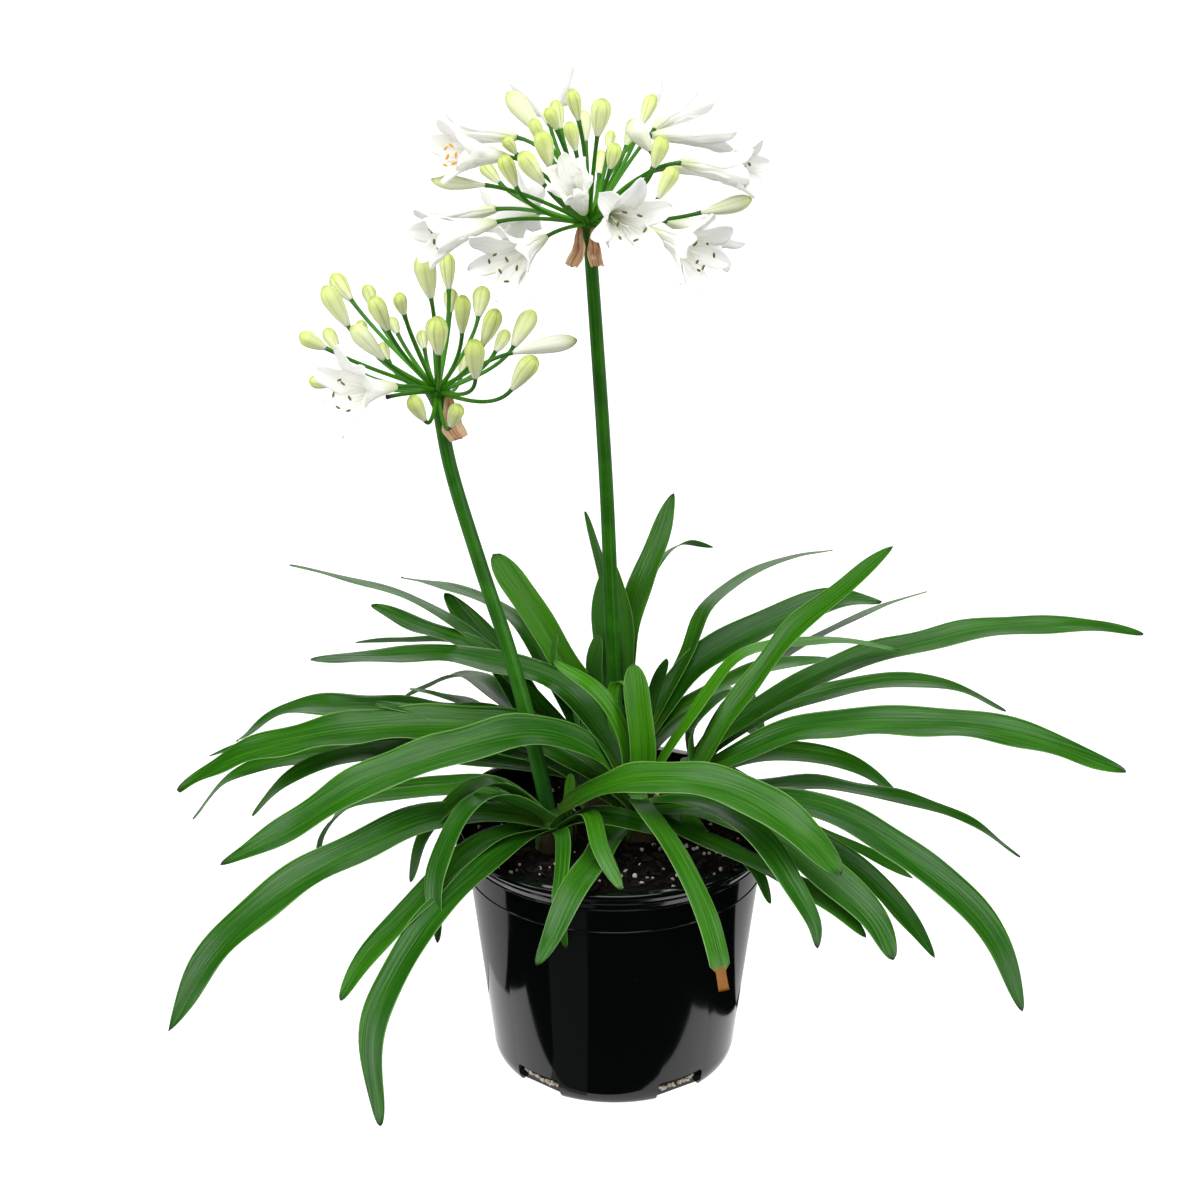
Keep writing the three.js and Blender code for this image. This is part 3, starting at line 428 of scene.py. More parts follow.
# Sheets at floor height that only the pot's gloss shows: how brightly they glow, and their corners.
CARDS = [
    ("card_near", 1.2, [(-138, -62), (40, -84), (115, -78), (122, -30), (96, 34), (-138, 60)]),
    ("card_front", 0.1, [(-150, -140), (-72, -215), (-34, -110), (-18, -72), (-50, -66), (-64, -78)]),
    ("card_left", 0.7, [(-138, -4), (-203, -28), (-5000, -1700), (-5000, 9000), (-138, 9000)]),
    ("card_back", 0.7, [(-138, 60), (97, 60), (97, 9000), (-138, 9000)]),
    ("card_right", 0.7, [(97, 35), (140, 37), (212, 32), (5000, -300), (5000, 9000), (97, 9000)]),
]
CARD_HEIGHT = -2
FLOOR = Sizes(size=12000, grey=0.4, glow=0.96)
BOUNCE = Sizes(size=1500, height=-20, glow=0.45)  # lights the plant from below
CAMERA = Sizes(target=(-8.3, 0, 284.5), distance=1600, elevation=23.2, lens=86.5, sensor=36)
# Soft lights: place and size in metres, and power in watts. All point at one target.
LIGHTS = [
    ("light_top", (-0.1, -0.6, 2.8), (2.6, 2.6), 92),
    ("light_left", (-2.2, -0.9, 1.0), (1.2, 2.0), 40),
    ("light_right", (2.2, -0.9, 1.0), (1.2, 2.0), 34),
    ("light_front", (0.0, -3.0, 1.2), (2.0, 1.5), 21),
    ("light_back", (0.0, 2.6, 1.2), (2.0, 1.5), 20),
]
LIGHT_TARGET = (0, 0, 0.25)

# What the pieces of each look carry at every point, for their material to read.
NUMBERS = {
    "pot": (),
    "soil": (),
    "bark": ("tone",),
    "perlite": ("tone",),
    "leaf": ("across", "along", "share", "edge", "side", "tone", "fresh", "dry"),
    "neck": ("around", "share", "tone", "dry"),
    "stem": ("around", "share", "tone", "stalk", "dry"),
    "bud": ("around", "share", "seam", "white", "tone"),
    "petal": ("across", "share", "tone"),
    "stamen": ("anther", "ripe"),
    "bract": ("across", "share", "tone"),
}

# ----- helpers


def lerp(a, b, t):
    return a + (b - a) * t


def clamp(value, low=0.0, high=1.0):
    return max(low, min(high, value))


def steps_of(count):
    """Even steps from 0 to 1."""
    return [k / count for k in range(count + 1)]


def heading(compass, rise=0):
    """Direction from a compass angle (0 = +X, 90 = +Y) and a rise above the horizon."""
    a = radians(compass)
    e = radians(rise)
    return Vector((cos(e) * cos(a), cos(e) * sin(a), sin(e)))


def across_of(direction):
    """A direction square to the given one."""
    return Vector((direction.z, direction.x, direction.y)).cross(direction).normalized()


def arc(centre, radii, start, end, pieces=5):
    """Points of an elliptic arc between two angles in degrees."""
    angles = [radians(lerp(start, end, t)) for t in steps_of(pieces)]
    return [(centre[0] + radii[0] * cos(a), centre[1] + radii[1] * sin(a)) for a in angles]


def across_shares(count):
    """Places round a sheet, from 1 at one edge to -1 at the other, and back."""
    shares = [j / count for j in range(count, -count - 1, -1)]
    return shares + shares[::-1]


def hermite(start, slope_start, end, slope_end, t):
    """Smooth way from start to end that leaves and arrives with the given slopes."""
    return (start * (2 * t**3 - 3 * t**2 + 1) + slope_start * (t**3 - 2 * t**2 + t)
            + end * (3 * t**2 - 2 * t**3) + slope_end * (t**3 - t**2))


def outline_at(outline, share, column=1):
    """Smooth value of one column of an outline of (share, value, ...) rows."""
    shares = [row[0] for row in outline]
    i = min(max(bisect_right(shares, share) - 1, 0), len(outline) - 2)
    a, b = outline[i], outline[i + 1]
    before = outline[max(i - 1, 0)]
    after = outline[min(i + 2, len(outline) - 1)]
    span = b[0] - a[0]
    slope_a = (b[column] - before[column]) / (b[0] - before[0]) * span
    slope_b = (after[column] - a[column]) / (after[0] - a[0]) * span
    return hermite(a[column], slope_a, b[column], slope_b, (share - a[0]) / span)


class Path:
    """A curve as a dense chain of points, read by the share of its length."""

    def __init__(self, chain):
        self.chain = chain
        self.reach = [0.0]
        for a, b in zip(chain, chain[1:]):
            self.reach.append(self.reach[-1] + (b - a).length)
        self.length = self.reach[-1]

    def at(self, share):
        target = clamp(share) * self.length
        i = min(bisect_right(self.reach, target), len(self.chain) - 1)
        span = self.reach[i] - self.reach[i - 1]
        return self.chain[i - 1].lerp(self.chain[i], (target - self.reach[i - 1]) / span)

    def run(self, share, reach=0.01):
        return (self.at(share + reach) - self.at(share - reach)).normalized()


def smooth_path(points, pieces=24):
    """Centripetal Catmull-Rom curve through the points."""
    ends = [points[0] * 2 - points[1], *points, points[-1] * 2 - points[-2]]
    chain = [points[0]]
    for p0, p1, p2, p3 in zip(ends, ends[1:], ends[2:], ends[3:]):
        d0, d1, d2 = (sqrt((b - a).length) for a, b in ((p0, p1), (p1, p2), (p2, p3)))
        start = ((p1 - p0) / d0 - (p2 - p0) / (d0 + d1) + (p2 - p1) / d1) * d1
        end = ((p2 - p1) / d1 - (p3 - p1) / (d1 + d2) + (p3 - p2) / d2) * d1
        chain += [hermite(p1, start, p2, end, k / pieces) for k in range(1, pieces + 1)]
    return Path(chain)


def bent_path(root, bend, end, pieces=24):
    """Quadratic Bezier curve."""
    return Path([root * (1 - t) ** 2 + bend * (2 * t * (1 - t)) + end * t * t for t in steps_of(pieces)])


class Skin:
    """Points, faces and per-point numbers of one piece, in millimetres."""

    def __init__(self, look):
        self.look = look
        self.points = []
        self.faces = []
        self.rings = []
        self.numbers = {name: [] for name in NUMBERS[look]}

    def ring(self, points, **numbers):
        """Adds a ring of points. A number is one value for the ring or a list with one a point."""
        start = len(self.points)
        self.points.extend(points)
        for name, values in self.numbers.items():
            value = numbers.get(name, 0.0)
            values.extend(value if isinstance(value, list) else [value] * len(points))
        self.rings.append(range(start, start + len(points)))

    def hoop(self, centre, along, across, radius_at, sides, wraps=1, **numbers):
        """Ring round an axis. The radius may vary with the angle from `across`."""
        over = along.cross(across)
        points = []
        for j in range(sides):
            a = tau * j / sides
            r = radius_at(a)
            points.append(centre + across * (r * cos(a)) + over * (r * sin(a)))
        self.ring(points, around=[wraps * j / sides for j in range(sides)], **numbers)

    def lathe(self, outline, sides):
        """Rings round the Z axis through an outline of (radius, height)."""
        turns = [heading(360 * i / sides) for i in range(sides)]
        for radius, height in outline:
            self.ring([turn * radius + UP * height for turn in turns])

    def sheet(self, count, half, spot_at, **numbers):
        """Ring round a thin sheet. The sign is 1 for spots on its upper face, -1 on its lower one."""
        shares = across_shares(count)
        signs = [1] * (len(shares) // 2) + [-1] * (len(shares) // 2)
        self.ring([spot_at(u, sign) for u, sign in zip(shares, signs)],
                  across=[u * half for u in shares], edge=[abs(u) for u in shares],
                  side=[float(sign < 0) for sign in signs], **numbers)

    def close(self):
        """Faces of a closed body through the rings since the last one."""
        for a, b in zip(self.rings, self.rings[1:]):
            n = len(a)
            self.faces += [(a[j], a[(j + 1) % n], b[(j + 1) % n], b[j]) for j in range(n)]
        self.faces += [tuple(self.rings[0]), tuple(self.rings[-1])]
        self.rings = []


def tube(skin, path, radius_at, sides, steps, shape=None, **numbers):
    """Round body along a path. The shape varies the radius round the ring."""
    across = across_of(path.run(0))
    for t in steps_of(steps):
        run = path.run(t)
        across = (across - run * across.dot(run)).normalized()
        here = {name: value(t) if callable(value) else value for name, value in numbers.items()}
        skin.hoop(path.at(t), run, across, lambda a: radius_at(t) * (shape(t, a) if shape else 1),
                  sides, share=t, **here)
    skin.close()


def solid_mesh(name, skin):
    """Mesh of a skin, in metres, with its faces turned outward."""
    mesh = bpy.data.meshes.new(name)
    mesh.from_pydata([point * MM for point in skin.points], [], skin.faces)
    build = bmesh.new()
    build.from_mesh(mesh)
    bmesh.ops.recalc_face_normals(build, faces=build.faces)
    build.to_mesh(mesh)
    build.free()
    return mesh


def new_object(name, data):
    thing = bpy.data.objects.new(name, data)
    bpy.context.scene.collection.objects.link(thing)
    return thing


def make_piece(name, skin, node, sharp=None):
    """One object of the scene from a skin, riding on the frame in place of a CAD node."""
    mesh = solid_mesh(name, skin)
    for key, values in skin.numbers.items():
        mesh.attributes.new(key, "FLOAT", "POINT").data.foreach_set("value", values)
    mesh.shade_smooth()
    if sharp:
        mesh.set_sharp_from_angle(angle=radians(sharp))
    material, slot = LOOKS[skin.look]
    mesh.materials.append(material)
    piece = new_object(name, mesh)
    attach(piece, "root")
    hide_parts(node)
    return piece


# ----- materials


def colour(code):
    """Linear colour of a hexadecimal screen colour."""
    parts = [int(code[i:i + 2], 16) / 255 for i in (0, 2, 4)]
    linear = [c / 12.92 if c <= 0.04045 else ((c + 0.055) / 1.055) ** 2.4 for c in parts]
    return (*linear, 1.0)


class Shader:
    """Short calls that build a material's nodes. The paint is its colour so far."""

    def __init__(self, name):
        self.material = bpy.data.materials.new(name)
        self.material.use_nodes = True
        self.tree = self.material.node_tree
        self.skin = self.tree.nodes["Principled BSDF"]
        self.paint = None

    def node(self, kind, inputs, output=0, **settings):
        """Adds a node with inputs by name or index, and returns one of its outputs."""
        node = self.tree.nodes.new(f"ShaderNode{kind}")
        for name, value in settings.items():
            setattr(node, name, value)
        for key, value in inputs.items():
            self.put(node.inputs[key], value)
        return node.outputs[output]

    def put(self, socket, value):
        if isinstance(value, bpy.types.NodeSocket):
            self.tree.links.new(value, socket)
        else:
            socket.default_value = colour(value) if isinstance(value, str) else value

    def set(self, **values):
        for name, value in values.items():
            self.put(self.skin.inputs[name.replace("_", " ")], value)

    def numbers(self, look):
        """The per-point numbers of a look."""
        return [self.node("Attribute", {}, "Fac", attribute_name=name) for name in NUMBERS[look]]

    def math(self, kind, *values, clip=False):
        return self.node("Math", dict(enumerate(values)), operation=kind, use_clamp=clip)

    def times(self, a, b):
        return self.math("MULTIPLY", a, b)

    def plus(self, a, b):
        return self.math("ADD", a, b, clip=True)

    def vector(self, *values):
        return self.node("CombineXYZ", dict(enumerate(values)))

    def place(self):
        """Place in the object's own space, in metres."""
        return self.node("TexCoord", {}, "Object")

    def noise(self, vector, scale, detail=3.0, roughness=0.5):
        return self.node("TexNoise", {"Vector": vector, "Scale": scale, "Detail": detail,
                                      "Roughness": roughness}, "Fac")

    def step(self, value, low, high, bottom=0.0, top=1.0):
        """Smooth step from `bottom` where the value is `low` to `top` where it is `high`."""
        return self.node("MapRange", {"Value": value, "From Min": low, "From Max": high,
                                      "To Min": bottom, "To Max": top}, "Result",
                         interpolation_type="SMOOTHSTEP")

    def mix(self, factor, a, b):
        return self.node("Mix", {0: factor, 6: a, 7: b}, 2, data_type="RGBA")

    def start(self, value, low, high, a, b):
        """First paint: `a` where the value is low and `b` where it is high."""
        self.paint = self.mix(self.step(value, low, high), a, b)

    def lay(self, factor, code):
        """Lays a colour over the paint."""
        self.paint = self.mix(factor, self.paint, code)

    def fade(self, value, start, full, most, code):
        """Lays a colour over the paint: none where the value is `start`, `most` where it is `full`."""
        self.lay(self.step(value, start, full, 0.0, most), code)

    def done(self, height, distance, strength=1.0, **values):
        """Sets the paint, a bump as deep as a distance in metres, and the other values."""
        bump = {"Height": height, "Distance": distance, "Strength": strength}
        self.set(Base_Color=self.paint, Normal=self.node("Bump", bump), **values)
        return self.material


def leaf_material():
    m = Shader("leaf_green")
    across, along, share, edge, side, tone, fresh, dry = m.numbers("leaf")
    own = m.times(tone, 40.0)
    veins = m.vector(across, m.times(along, 0.012), own)
    fine = m.noise(veins, 1.5, 2.0)
    coarse = m.noise(veins, 0.7, 2.0)
    cloud = m.noise(m.vector(m.times(across, 0.05), m.times(along, 0.02), own), 1.0)
    m.start(cloud, 0.3, 0.7, "205606", "2c660a")
    m.fade(tone, 0.0, 1.0, 0.75, "174a0a")
    m.lay(fresh, "438a04")
    m.fade(coarse, 0.5, 0.75, 0.4, "3a7814")
    m.fade(coarse, 0.5, 0.3, 0.35, "174a06")
    m.fade(fine, 0.52, 0.66, 0.38, "4a8626")
    m.fade(fine, 0.48, 0.34, 0.42, "123f06")
    m.fade(edge, 0.92, 1.0, 0.8, "84b462")
    m.lay(m.times(side, 0.4), "3c7822")
    m.fade(share, 0.16, 0.02, 0.45, "6f9c36")
    m.fade(share, 0.97, 1.0, 0.7, "16240a")
    m.lay(dry, "865000")
    rough = m.plus(m.step(cloud, 0.2, 0.8, 0.27, 0.36), m.times(side, 0.3))
    return m.done(m.math("ADD", fine, m.times(coarse, 1.4)), 0.0003, 0.8,
                  Roughness=rough, Specular_IOR_Level=0.27)


def neck_material():
    m = Shader("neck_green")
    around, share, tone, dry = m.numbers("neck")
    fibres = m.noise(m.vector(m.times(around, 40.0), m.times(share, 1.2), tone), 1.6)
    m.start(share, 0.1, 0.6, "7f8f4c", "2c6214")
    m.fade(fibres, 0.5, 0.75, 0.35, "93a463")
    m.lay(dry, m.mix(fibres, "241c0c", "4c4426"))
    return m.done(fibres, 0.0004, 0.7, Roughness=0.55)


def stem_material():
    m = Shader("stem_green")
    around, share, tone, stalk, dry = m.numbers("stem")
    streaks = m.noise(m.vector(m.times(around, 26.0), m.times(share, 3.0), tone), 1.3)
    m.start(share, 0.25, 1.0, "428c0c", "2a6608")
    m.fade(streaks, 0.5, 0.8, 0.3, "6aa42a")
    thin = m.paint
    m.start(m.noise(m.place(), 60.0), 0.35, 0.7, "1a5400", "266a02")
    m.fade(share, 0.35, 0.0, 0.6, "2c6a34")
    m.fade(streaks, 0.5, 0.7, 0.4, "4a8c1e")
    m.fade(streaks, 0.48, 0.3, 0.6, "103604")
    m.lay(stalk, thin)
    m.lay(dry, "0e0f08")
    return m.done(streaks, 0.0002, 0.5, Roughness=m.step(streaks, 0.2, 0.8, 0.36, 0.5),
                  Specular_IOR_Level=0.25)


def bud_material():
    m = Shader("bud_green")
    around, share, seam, white, tone = m.numbers("bud")
    streaks = m.noise(m.vector(m.times(around, 24.0), m.times(share, 1.5), tone), 1.5)
    m.start(share, 0.7, 1.0, "f3f4e6", "e3e9b6")
    m.fade(seam, 0.6, 1.0, 0.35, "d5dca8")
    pale = m.paint
    m.start(share, 0.0, 0.4, "f2f2da", "e2eaa8")
    m.fade(share, 0.45, 0.95, 1.0, "c4d46c")
    m.fade(streaks, 0.5, 0.8, 0.3, "eff2c8")
    m.fade(seam, 0.4, 1.0, 0.6, "8fa944")
    m.lay(white, pale)
    m.fade(share, 0.93, 1.0, 0.6, "8c9c3e")
    return m.done(streaks, 0.00015, 0.5, Roughness=0.42, Subsurface_Weight=0.12,
                  Subsurface_Scale=0.002, Subsurface_Radius=(1.0, 1.0, 0.4))


def petal_material():
    m = Shader("petal_white")
    across, share, tone = m.numbers("petal")
    lines = m.noise(m.vector(across, m.times(share, 1.3), tone), 1.1, 2.0)
    m.start(lines, 0.45, 0.8, "fefefa", "eeefe4")
    midvein = m.step(m.math("ABSOLUTE", across), 0.8, 0.15)
    m.lay(m.times(midvein, m.step(share, 0.9, 0.35, 0.0, 0.3)), "ccd4a0")
    m.fade(share, 0.4, 0.02, 0.8, "c8d29a")
    # The petals also glow faintly in their own colour: painted light that keeps them bright.
    return m.done(lines, 0.0003, 0.6, Roughness=0.5, Subsurface_Weight=0.25,
                  Subsurface_Scale=0.002, Subsurface_Radius=(1.0, 1.0, 0.9),
                  Emission_Color=m.paint, Emission_Strength=0.035)


def stamen_material():
    m = Shader("stamen")
    anther, ripe = m.numbers("stamen")
    grain = m.noise(m.place(), 1800.0, 2.0)
    m.start(ripe, 0.0, 0.5, "f0a800", "5a4c14")
    m.lay(m.times(grain, 0.5), "8c7430")
    m.paint = m.mix(anther, "f2f3e4", m.paint)
    return m.done(grain, 0.0002, 0.5, Roughness=0.6)


def bract_material():
    m = Shader("bract_paper")
    across, share, tone = m.numbers("bract")
    fibres = m.noise(m.vector(across, m.times(share, 0.8), tone), 1.2, 4.0)
    m.start(fibres, 0.35, 0.7, "8a5c38", "c49c74")
    m.fade(m.noise(m.place(), 260.0), 0.5, 0.8, 0.6, "dcb894")
    m.fade(m.math("ABSOLUTE", across), 2.2, 4.6, 0.5, "e2cba8")
    m.fade(share, 0.3, 0.0, 0.6, "6a4526")
    return m.done(fibres, 0.0005, 0.8, Roughness=0.62, Subsurface_Weight=0.1,
                  Subsurface_Scale=0.001)


def soil_material():
    m = Shader("potting_soil")
    crumbs = m.noise(m.place(), 420.0, 6.0, 0.65)
    m.start(crumbs, 0.35, 0.7, "070504", "1a1410")
    m.fade(m.noise(m.place(), 60.0), 0.45, 0.7, 0.6, "0d0a08")
    return m.done(crumbs, 0.0016, Roughness=0.95, Specular_IOR_Level=0.2)


def bark_material():
    m = Shader("bark_chips")
    grain = m.noise(m.place(), 500.0, 4.0)
    m.paint = m.mix(*m.numbers("bark"), "0e0a07", "2e2218")
    m.fade(grain, 0.45, 0.7, 0.5, "080504")
    return m.done(grain, 0.0006, 0.8, Roughness=0.85, Specular_IOR_Level=0.3)


def perlite_material():
    m = Shader("perlite_white")
    grain = m.noise(m.place(), 900.0, 4.0)
    m.paint = m.mix(grain, "d2cec6", "f4f2ee")
    m.lay(*m.numbers("perlite"), "b09468")
    return m.done(grain, 0.0006, 0.8, Roughness=0.8)


def pot_material():
    m = Shader("pot_black_gloss")
    smudge = m.noise(m.place(), 16.0, 4.0, 0.6)
    dust = m.step(m.noise(m.place(), 900.0, 1.0), 0.80, 0.83)
    m.paint = m.mix(m.times(dust, m.step(smudge, 0.5, 0.7)), "080b0b", "4c4c48")
    rough = m.plus(m.step(smudge, 0.3, 0.75, 0.07, 0.13), m.times(dust, 0.3))
    return m.done(m.noise(m.place(), 35.0, 2.0), 0.0006, 0.06, Roughness=rough)


# Finish of each look: its material, and the record's slot that it belongs to.
LOOKS = {
    "pot": (pot_material(), "pot_plastic"),
    "soil": (soil_material(), "soil"),
    "bark": (bark_material(), "soil"),
    "perlite": (perlite_material(), "soil"),
    "leaf": (leaf_material(), "leaf"),
    "neck": (neck_material(), "leaf"),
    "stem": (stem_material(), "stem"),
    "bud": (bud_material(), "petal"),
    "petal": (petal_material(), "petal"),
    "stamen": (stamen_material(), "petal"),
    "bract": (bract_material(), "bract"),
}

# ----- pot


def bead(radius, height):
    """Outline of a fine raised ring, as (radius, height)."""
    return arc((radius, height), (POT.bead, POT.bead), -90, 90, 6)


def pot_outline():
    """The pot's section from the middle of its underside, out and up, and back down inside."""
    soft = (POT.ring, POT.ring)
    collar = POT.collar_radius - POT.ring
    lip_bottom = POT.height - POT.lip_depth
    under_lip = POT.lip_radius - POT.lip_depth
    share = (POT.upper_ring - POT.collar_ring) / (lip_bottom - POT.collar_ring)
    rim = POT.lip_radius - POT.ring
    rim_inside = POT.lip_radius - POT.lip_width + POT.ring
    foot = (POT.wall_bottom - POT.foot_radius, POT.foot_height)
    return [
        *arc((POT.foot_radius, POT.foot_height), foot, -90, 0, 10),
        (POT.wall_top, POT.step_height - POT.under_step),
        *bead(POT.step_radius - POT.bead, POT.step_height),
        *bead(collar, POT.collar_ring),
        *bead(lerp(collar, under_lip, share), POT.upper_ring),
        (under_lip, lip_bottom - POT.ring),
        *arc((rim, lip_bottom + POT.ring), soft, -70, 0),
        *arc((rim, POT.height - POT.ring), soft, 0, 90),
        *arc((rim_inside, POT.height - POT.ring), soft, 90, 180),
        (POT.collar_radius - POT.wall, POT.collar_ring),
        (POT.wall_top - POT.wall, POT.step_height),
        (POT.wall_bottom - POT.wall, POT.foot_height),
        (POT.foot_radius - POT.wall, POT.floor),
    ]


def slot_cutter(compass):
    """Block with rounded upper corners that cuts one drain slot."""
    half = SLOT.width / 2
    corner = SLOT.corner
    top = SLOT.height - corner
    outline = [
        (-half, -SLOT.height),
        (half, -SLOT.height),
        *arc((half - corner, top), (corner, corner), 0, 90, 6),
        *arc((corner - half, top), (corner, corner), 90, 180, 6),
    ]
    out = heading(compass)
    across = heading(compass + 90)
    skin = Skin("pot")
    for depth in (-SLOT.depth / 2, SLOT.depth / 2):
        centre = out * (POT.wall_bottom + depth)
        skin.ring([centre + across * x + UP * z for x, z in outline])
    skin.close()
    return skin


def cut_with(piece, skin):
    """Cuts the body of a skin out of a piece, and applies the cut."""
    mesh = solid_mesh("cutter", skin)
    cutter = new_object("cutter", mesh)
    cut = piece.modifiers.new("slot", "BOOLEAN")
    cut.object = cutter
    cut.operation = "DIFFERENCE"
    cut.solver = "EXACT"
    with bpy.context.temp_override(object=piece, active_object=piece):
        bpy.ops.object.modifier_apply(modifier=cut.name)
    bpy.data.objects.remove(cutter)
    bpy.data.meshes.remove(mesh)


def slot_directions():
    return [SLOT.first + i * 360 / SLOT.count for i in range(SLOT.count)]


def make_pot():
    skin = Skin("pot")
    skin.lathe(pot_outline(), POT.segments)
    skin.close()
    piece = make_piece("pot_fine", skin, "pot")
    for compass in slot_directions():
        cut_with(piece, slot_cutter(compass))
    piece.data.set_sharp_from_angle(angle=radians(POT.sharp))


# ----- soil


def soil_edge():
    """Radius and height of the soil's upper rim, a little clear of the pot's wall."""
    height = SOIL.top - SOIL.wall_drop - SOIL.edge
    share = (height - POT.step_height) / (POT.collar_ring - POT.step_height)
    return lerp(POT.wall_top, POT.collar_radius, share) - POT.wall - GAP, height


def soil_height(x, y):
    """Height of the lumpy soil surface."""
    distance = hypot(x, y)
    dome = SOIL.crown * (1 - clamp(distance / POT.foot_radius) ** 2)
    drop = SOIL.wall_drop * clamp((distance - POT.foot_radius) / SOIL.slope)
    lumps = sum(noise.noise(Vector((x, y, layer)) * density) * height
                for density, height, layer in SOIL.lumps)
    return SOIL.top + dome - drop + lumps


def make_soil():
    skin = Skin("soil")
    inside = POT.wall + GAP
    edge, edge_height = soil_edge()
    skin.lathe([
        (POT.foot_radius - inside, POT.floor + GAP),
        (POT.wall_bottom - inside, POT.foot_height),
        (POT.wall_top - inside, POT.step_height),
        (edge, edge_height),
    ], SOIL.sides)
    for k in range(SOIL.rings):
        radius = edge * (1 - k / SOIL.rings) + SOIL.middle
        spots = [heading(360 * i / SOIL.sides) * radius for i in range(SOIL.sides)]
        skin.ring([Vector((x, y, soil_height(x, y))) for x, y, _ in spots])
    skin.close()
    make_piece("soil_fine", skin, "soil")


def crumb(skin, centre, size, rng, tone, stretch=(1, 1, 1), cuts=1):
    """A rough lump of about the given radius, turned at random."""
    build = bmesh.new()
    bmesh.ops.create_icosphere(build, subdivisions=cuts, radius=1)
    turn = Quaternion(Vector((rng.gauss(0, 1), rng.gauss(0, 1), rng.gauss(0, 1))).normalized(),
                      rng.uniform(0, tau))
    points = []
    for vertex in build.verts:
        shape = Vector([c * s for c, s in zip(vertex.co, stretch)])
        points.append(centre + turn @ shape * (size * rng.uniform(*CRUMB_ROUGHNESS)))
    skin.ring(points, tone=tone)
    ring = skin.rings.pop()
    skin.faces += [[ring[vertex.index] for vertex in face.verts] for face in build.faces]
    build.free()


def free_of_necks(x, y):
    """Whether a spot on the soil lies clear of every neck and scape."""
    spots = [(fan.x, fan.y, fan.long) for fan in FANS.values()]
    spots += [(*scape.way[0][:2], scape.radius[0]) for scape in SCAPES.values()]
    return all(hypot(x - a, y - b) > r + SOIL.clearance for a, b, r in spots)


def spread_over_soil(count, rng):
    """Random spots on the soil."""
    edge = soil_edge()[0] - SOIL.bare_edge
    spots = []
    while len(spots) < count:
        spot = heading(rng.uniform(0, 360)) * (edge * sqrt(rng.random()))
        if free_of_necks(spot.x, spot.y):
            spots.append(Vector((spot.x, spot.y, soil_height(spot.x, spot.y))))
    return spots


def make_bark():
    rng = random.Random(BARK.seed)
    skin = Skin("bark")
    for spot in spread_over_soil(BARK.count, rng):
        size = rng.uniform(*BARK.size)
        stretch = [rng.uniform(*limits) for limits in BARK.stretch]
        crumb(skin, spot + UP * (BARK.lift * size), size, rng, rng.random(), stretch)
    make_piece("soil_bark_chips", skin, "soil", sharp=BARK.sharp)


def make_perlite():
    """White grains on the soil, and the ones that show in the drain slots."""
    rng = random.Random(PERLITE.seed)
    skin = Skin("perlite")
    for spot in spread_over_soil(PERLITE.count, rng):
        size = rng.uniform(*PERLITE.size)
        tone = PERLITE.stain * rng.random() ** 3
        crumb(skin, spot + UP * (PERLITE.lift * size), size, rng, tone, cuts=2)
    for first in slot_directions():
        for _ in range(PERLITE.slot_count):
            compass = first + rng.uniform(*PERLITE.slot_spread)
            height = rng.uniform(POT.floor + GAP, PERLITE.slot_fill * SLOT.height)
            share = (height - POT.floor) / (POT.foot_height - POT.floor)
            radius = lerp(POT.foot_radius, POT.wall_bottom, share) - POT.wall
            radius -= rng.uniform(0, PERLITE.slot_depth)
            size = rng.uniform(*PERLITE.slot_size)
            crumb(skin, heading(compass) * radius + UP * height, size, rng, rng.random(), cuts=2)
    make_piece("soil_perlite", skin, "soil")


# ----- leaves


def midrib(fan, way):
    """Midrib of a leaf. A low leaf leaves its neck near the soil and a high one near the top."""
    tip = way[-1]
    out = Vector((tip[0] - fan.x, tip[1] - fan.y, 0)).normalized()
    share = clamp((way[0][2] - SOIL.top) / LEAF.high_way, LEAF.low_share, 1)
    middle = Vector((fan.x, fan.y, SOIL.top + fan.neck * share))
    bend = middle + out * LEAF.bend_out
    root = middle + out * LEAF.out - UP * LEAF.sunk
    return smooth_path([root, bend, *map(Vector, way)]), Vector((-out.y, out.x, 0))


def leaf_width(t, width, taper):
    growth = sin(min(t / LEAF.full_at, 1) * pi / 2)
    end = clamp((t - taper) / (1 - taper))
    return width * lerp(LEAF.neck_width, 1, growth) * max(1 - end**2, 0) ** LEAF.point


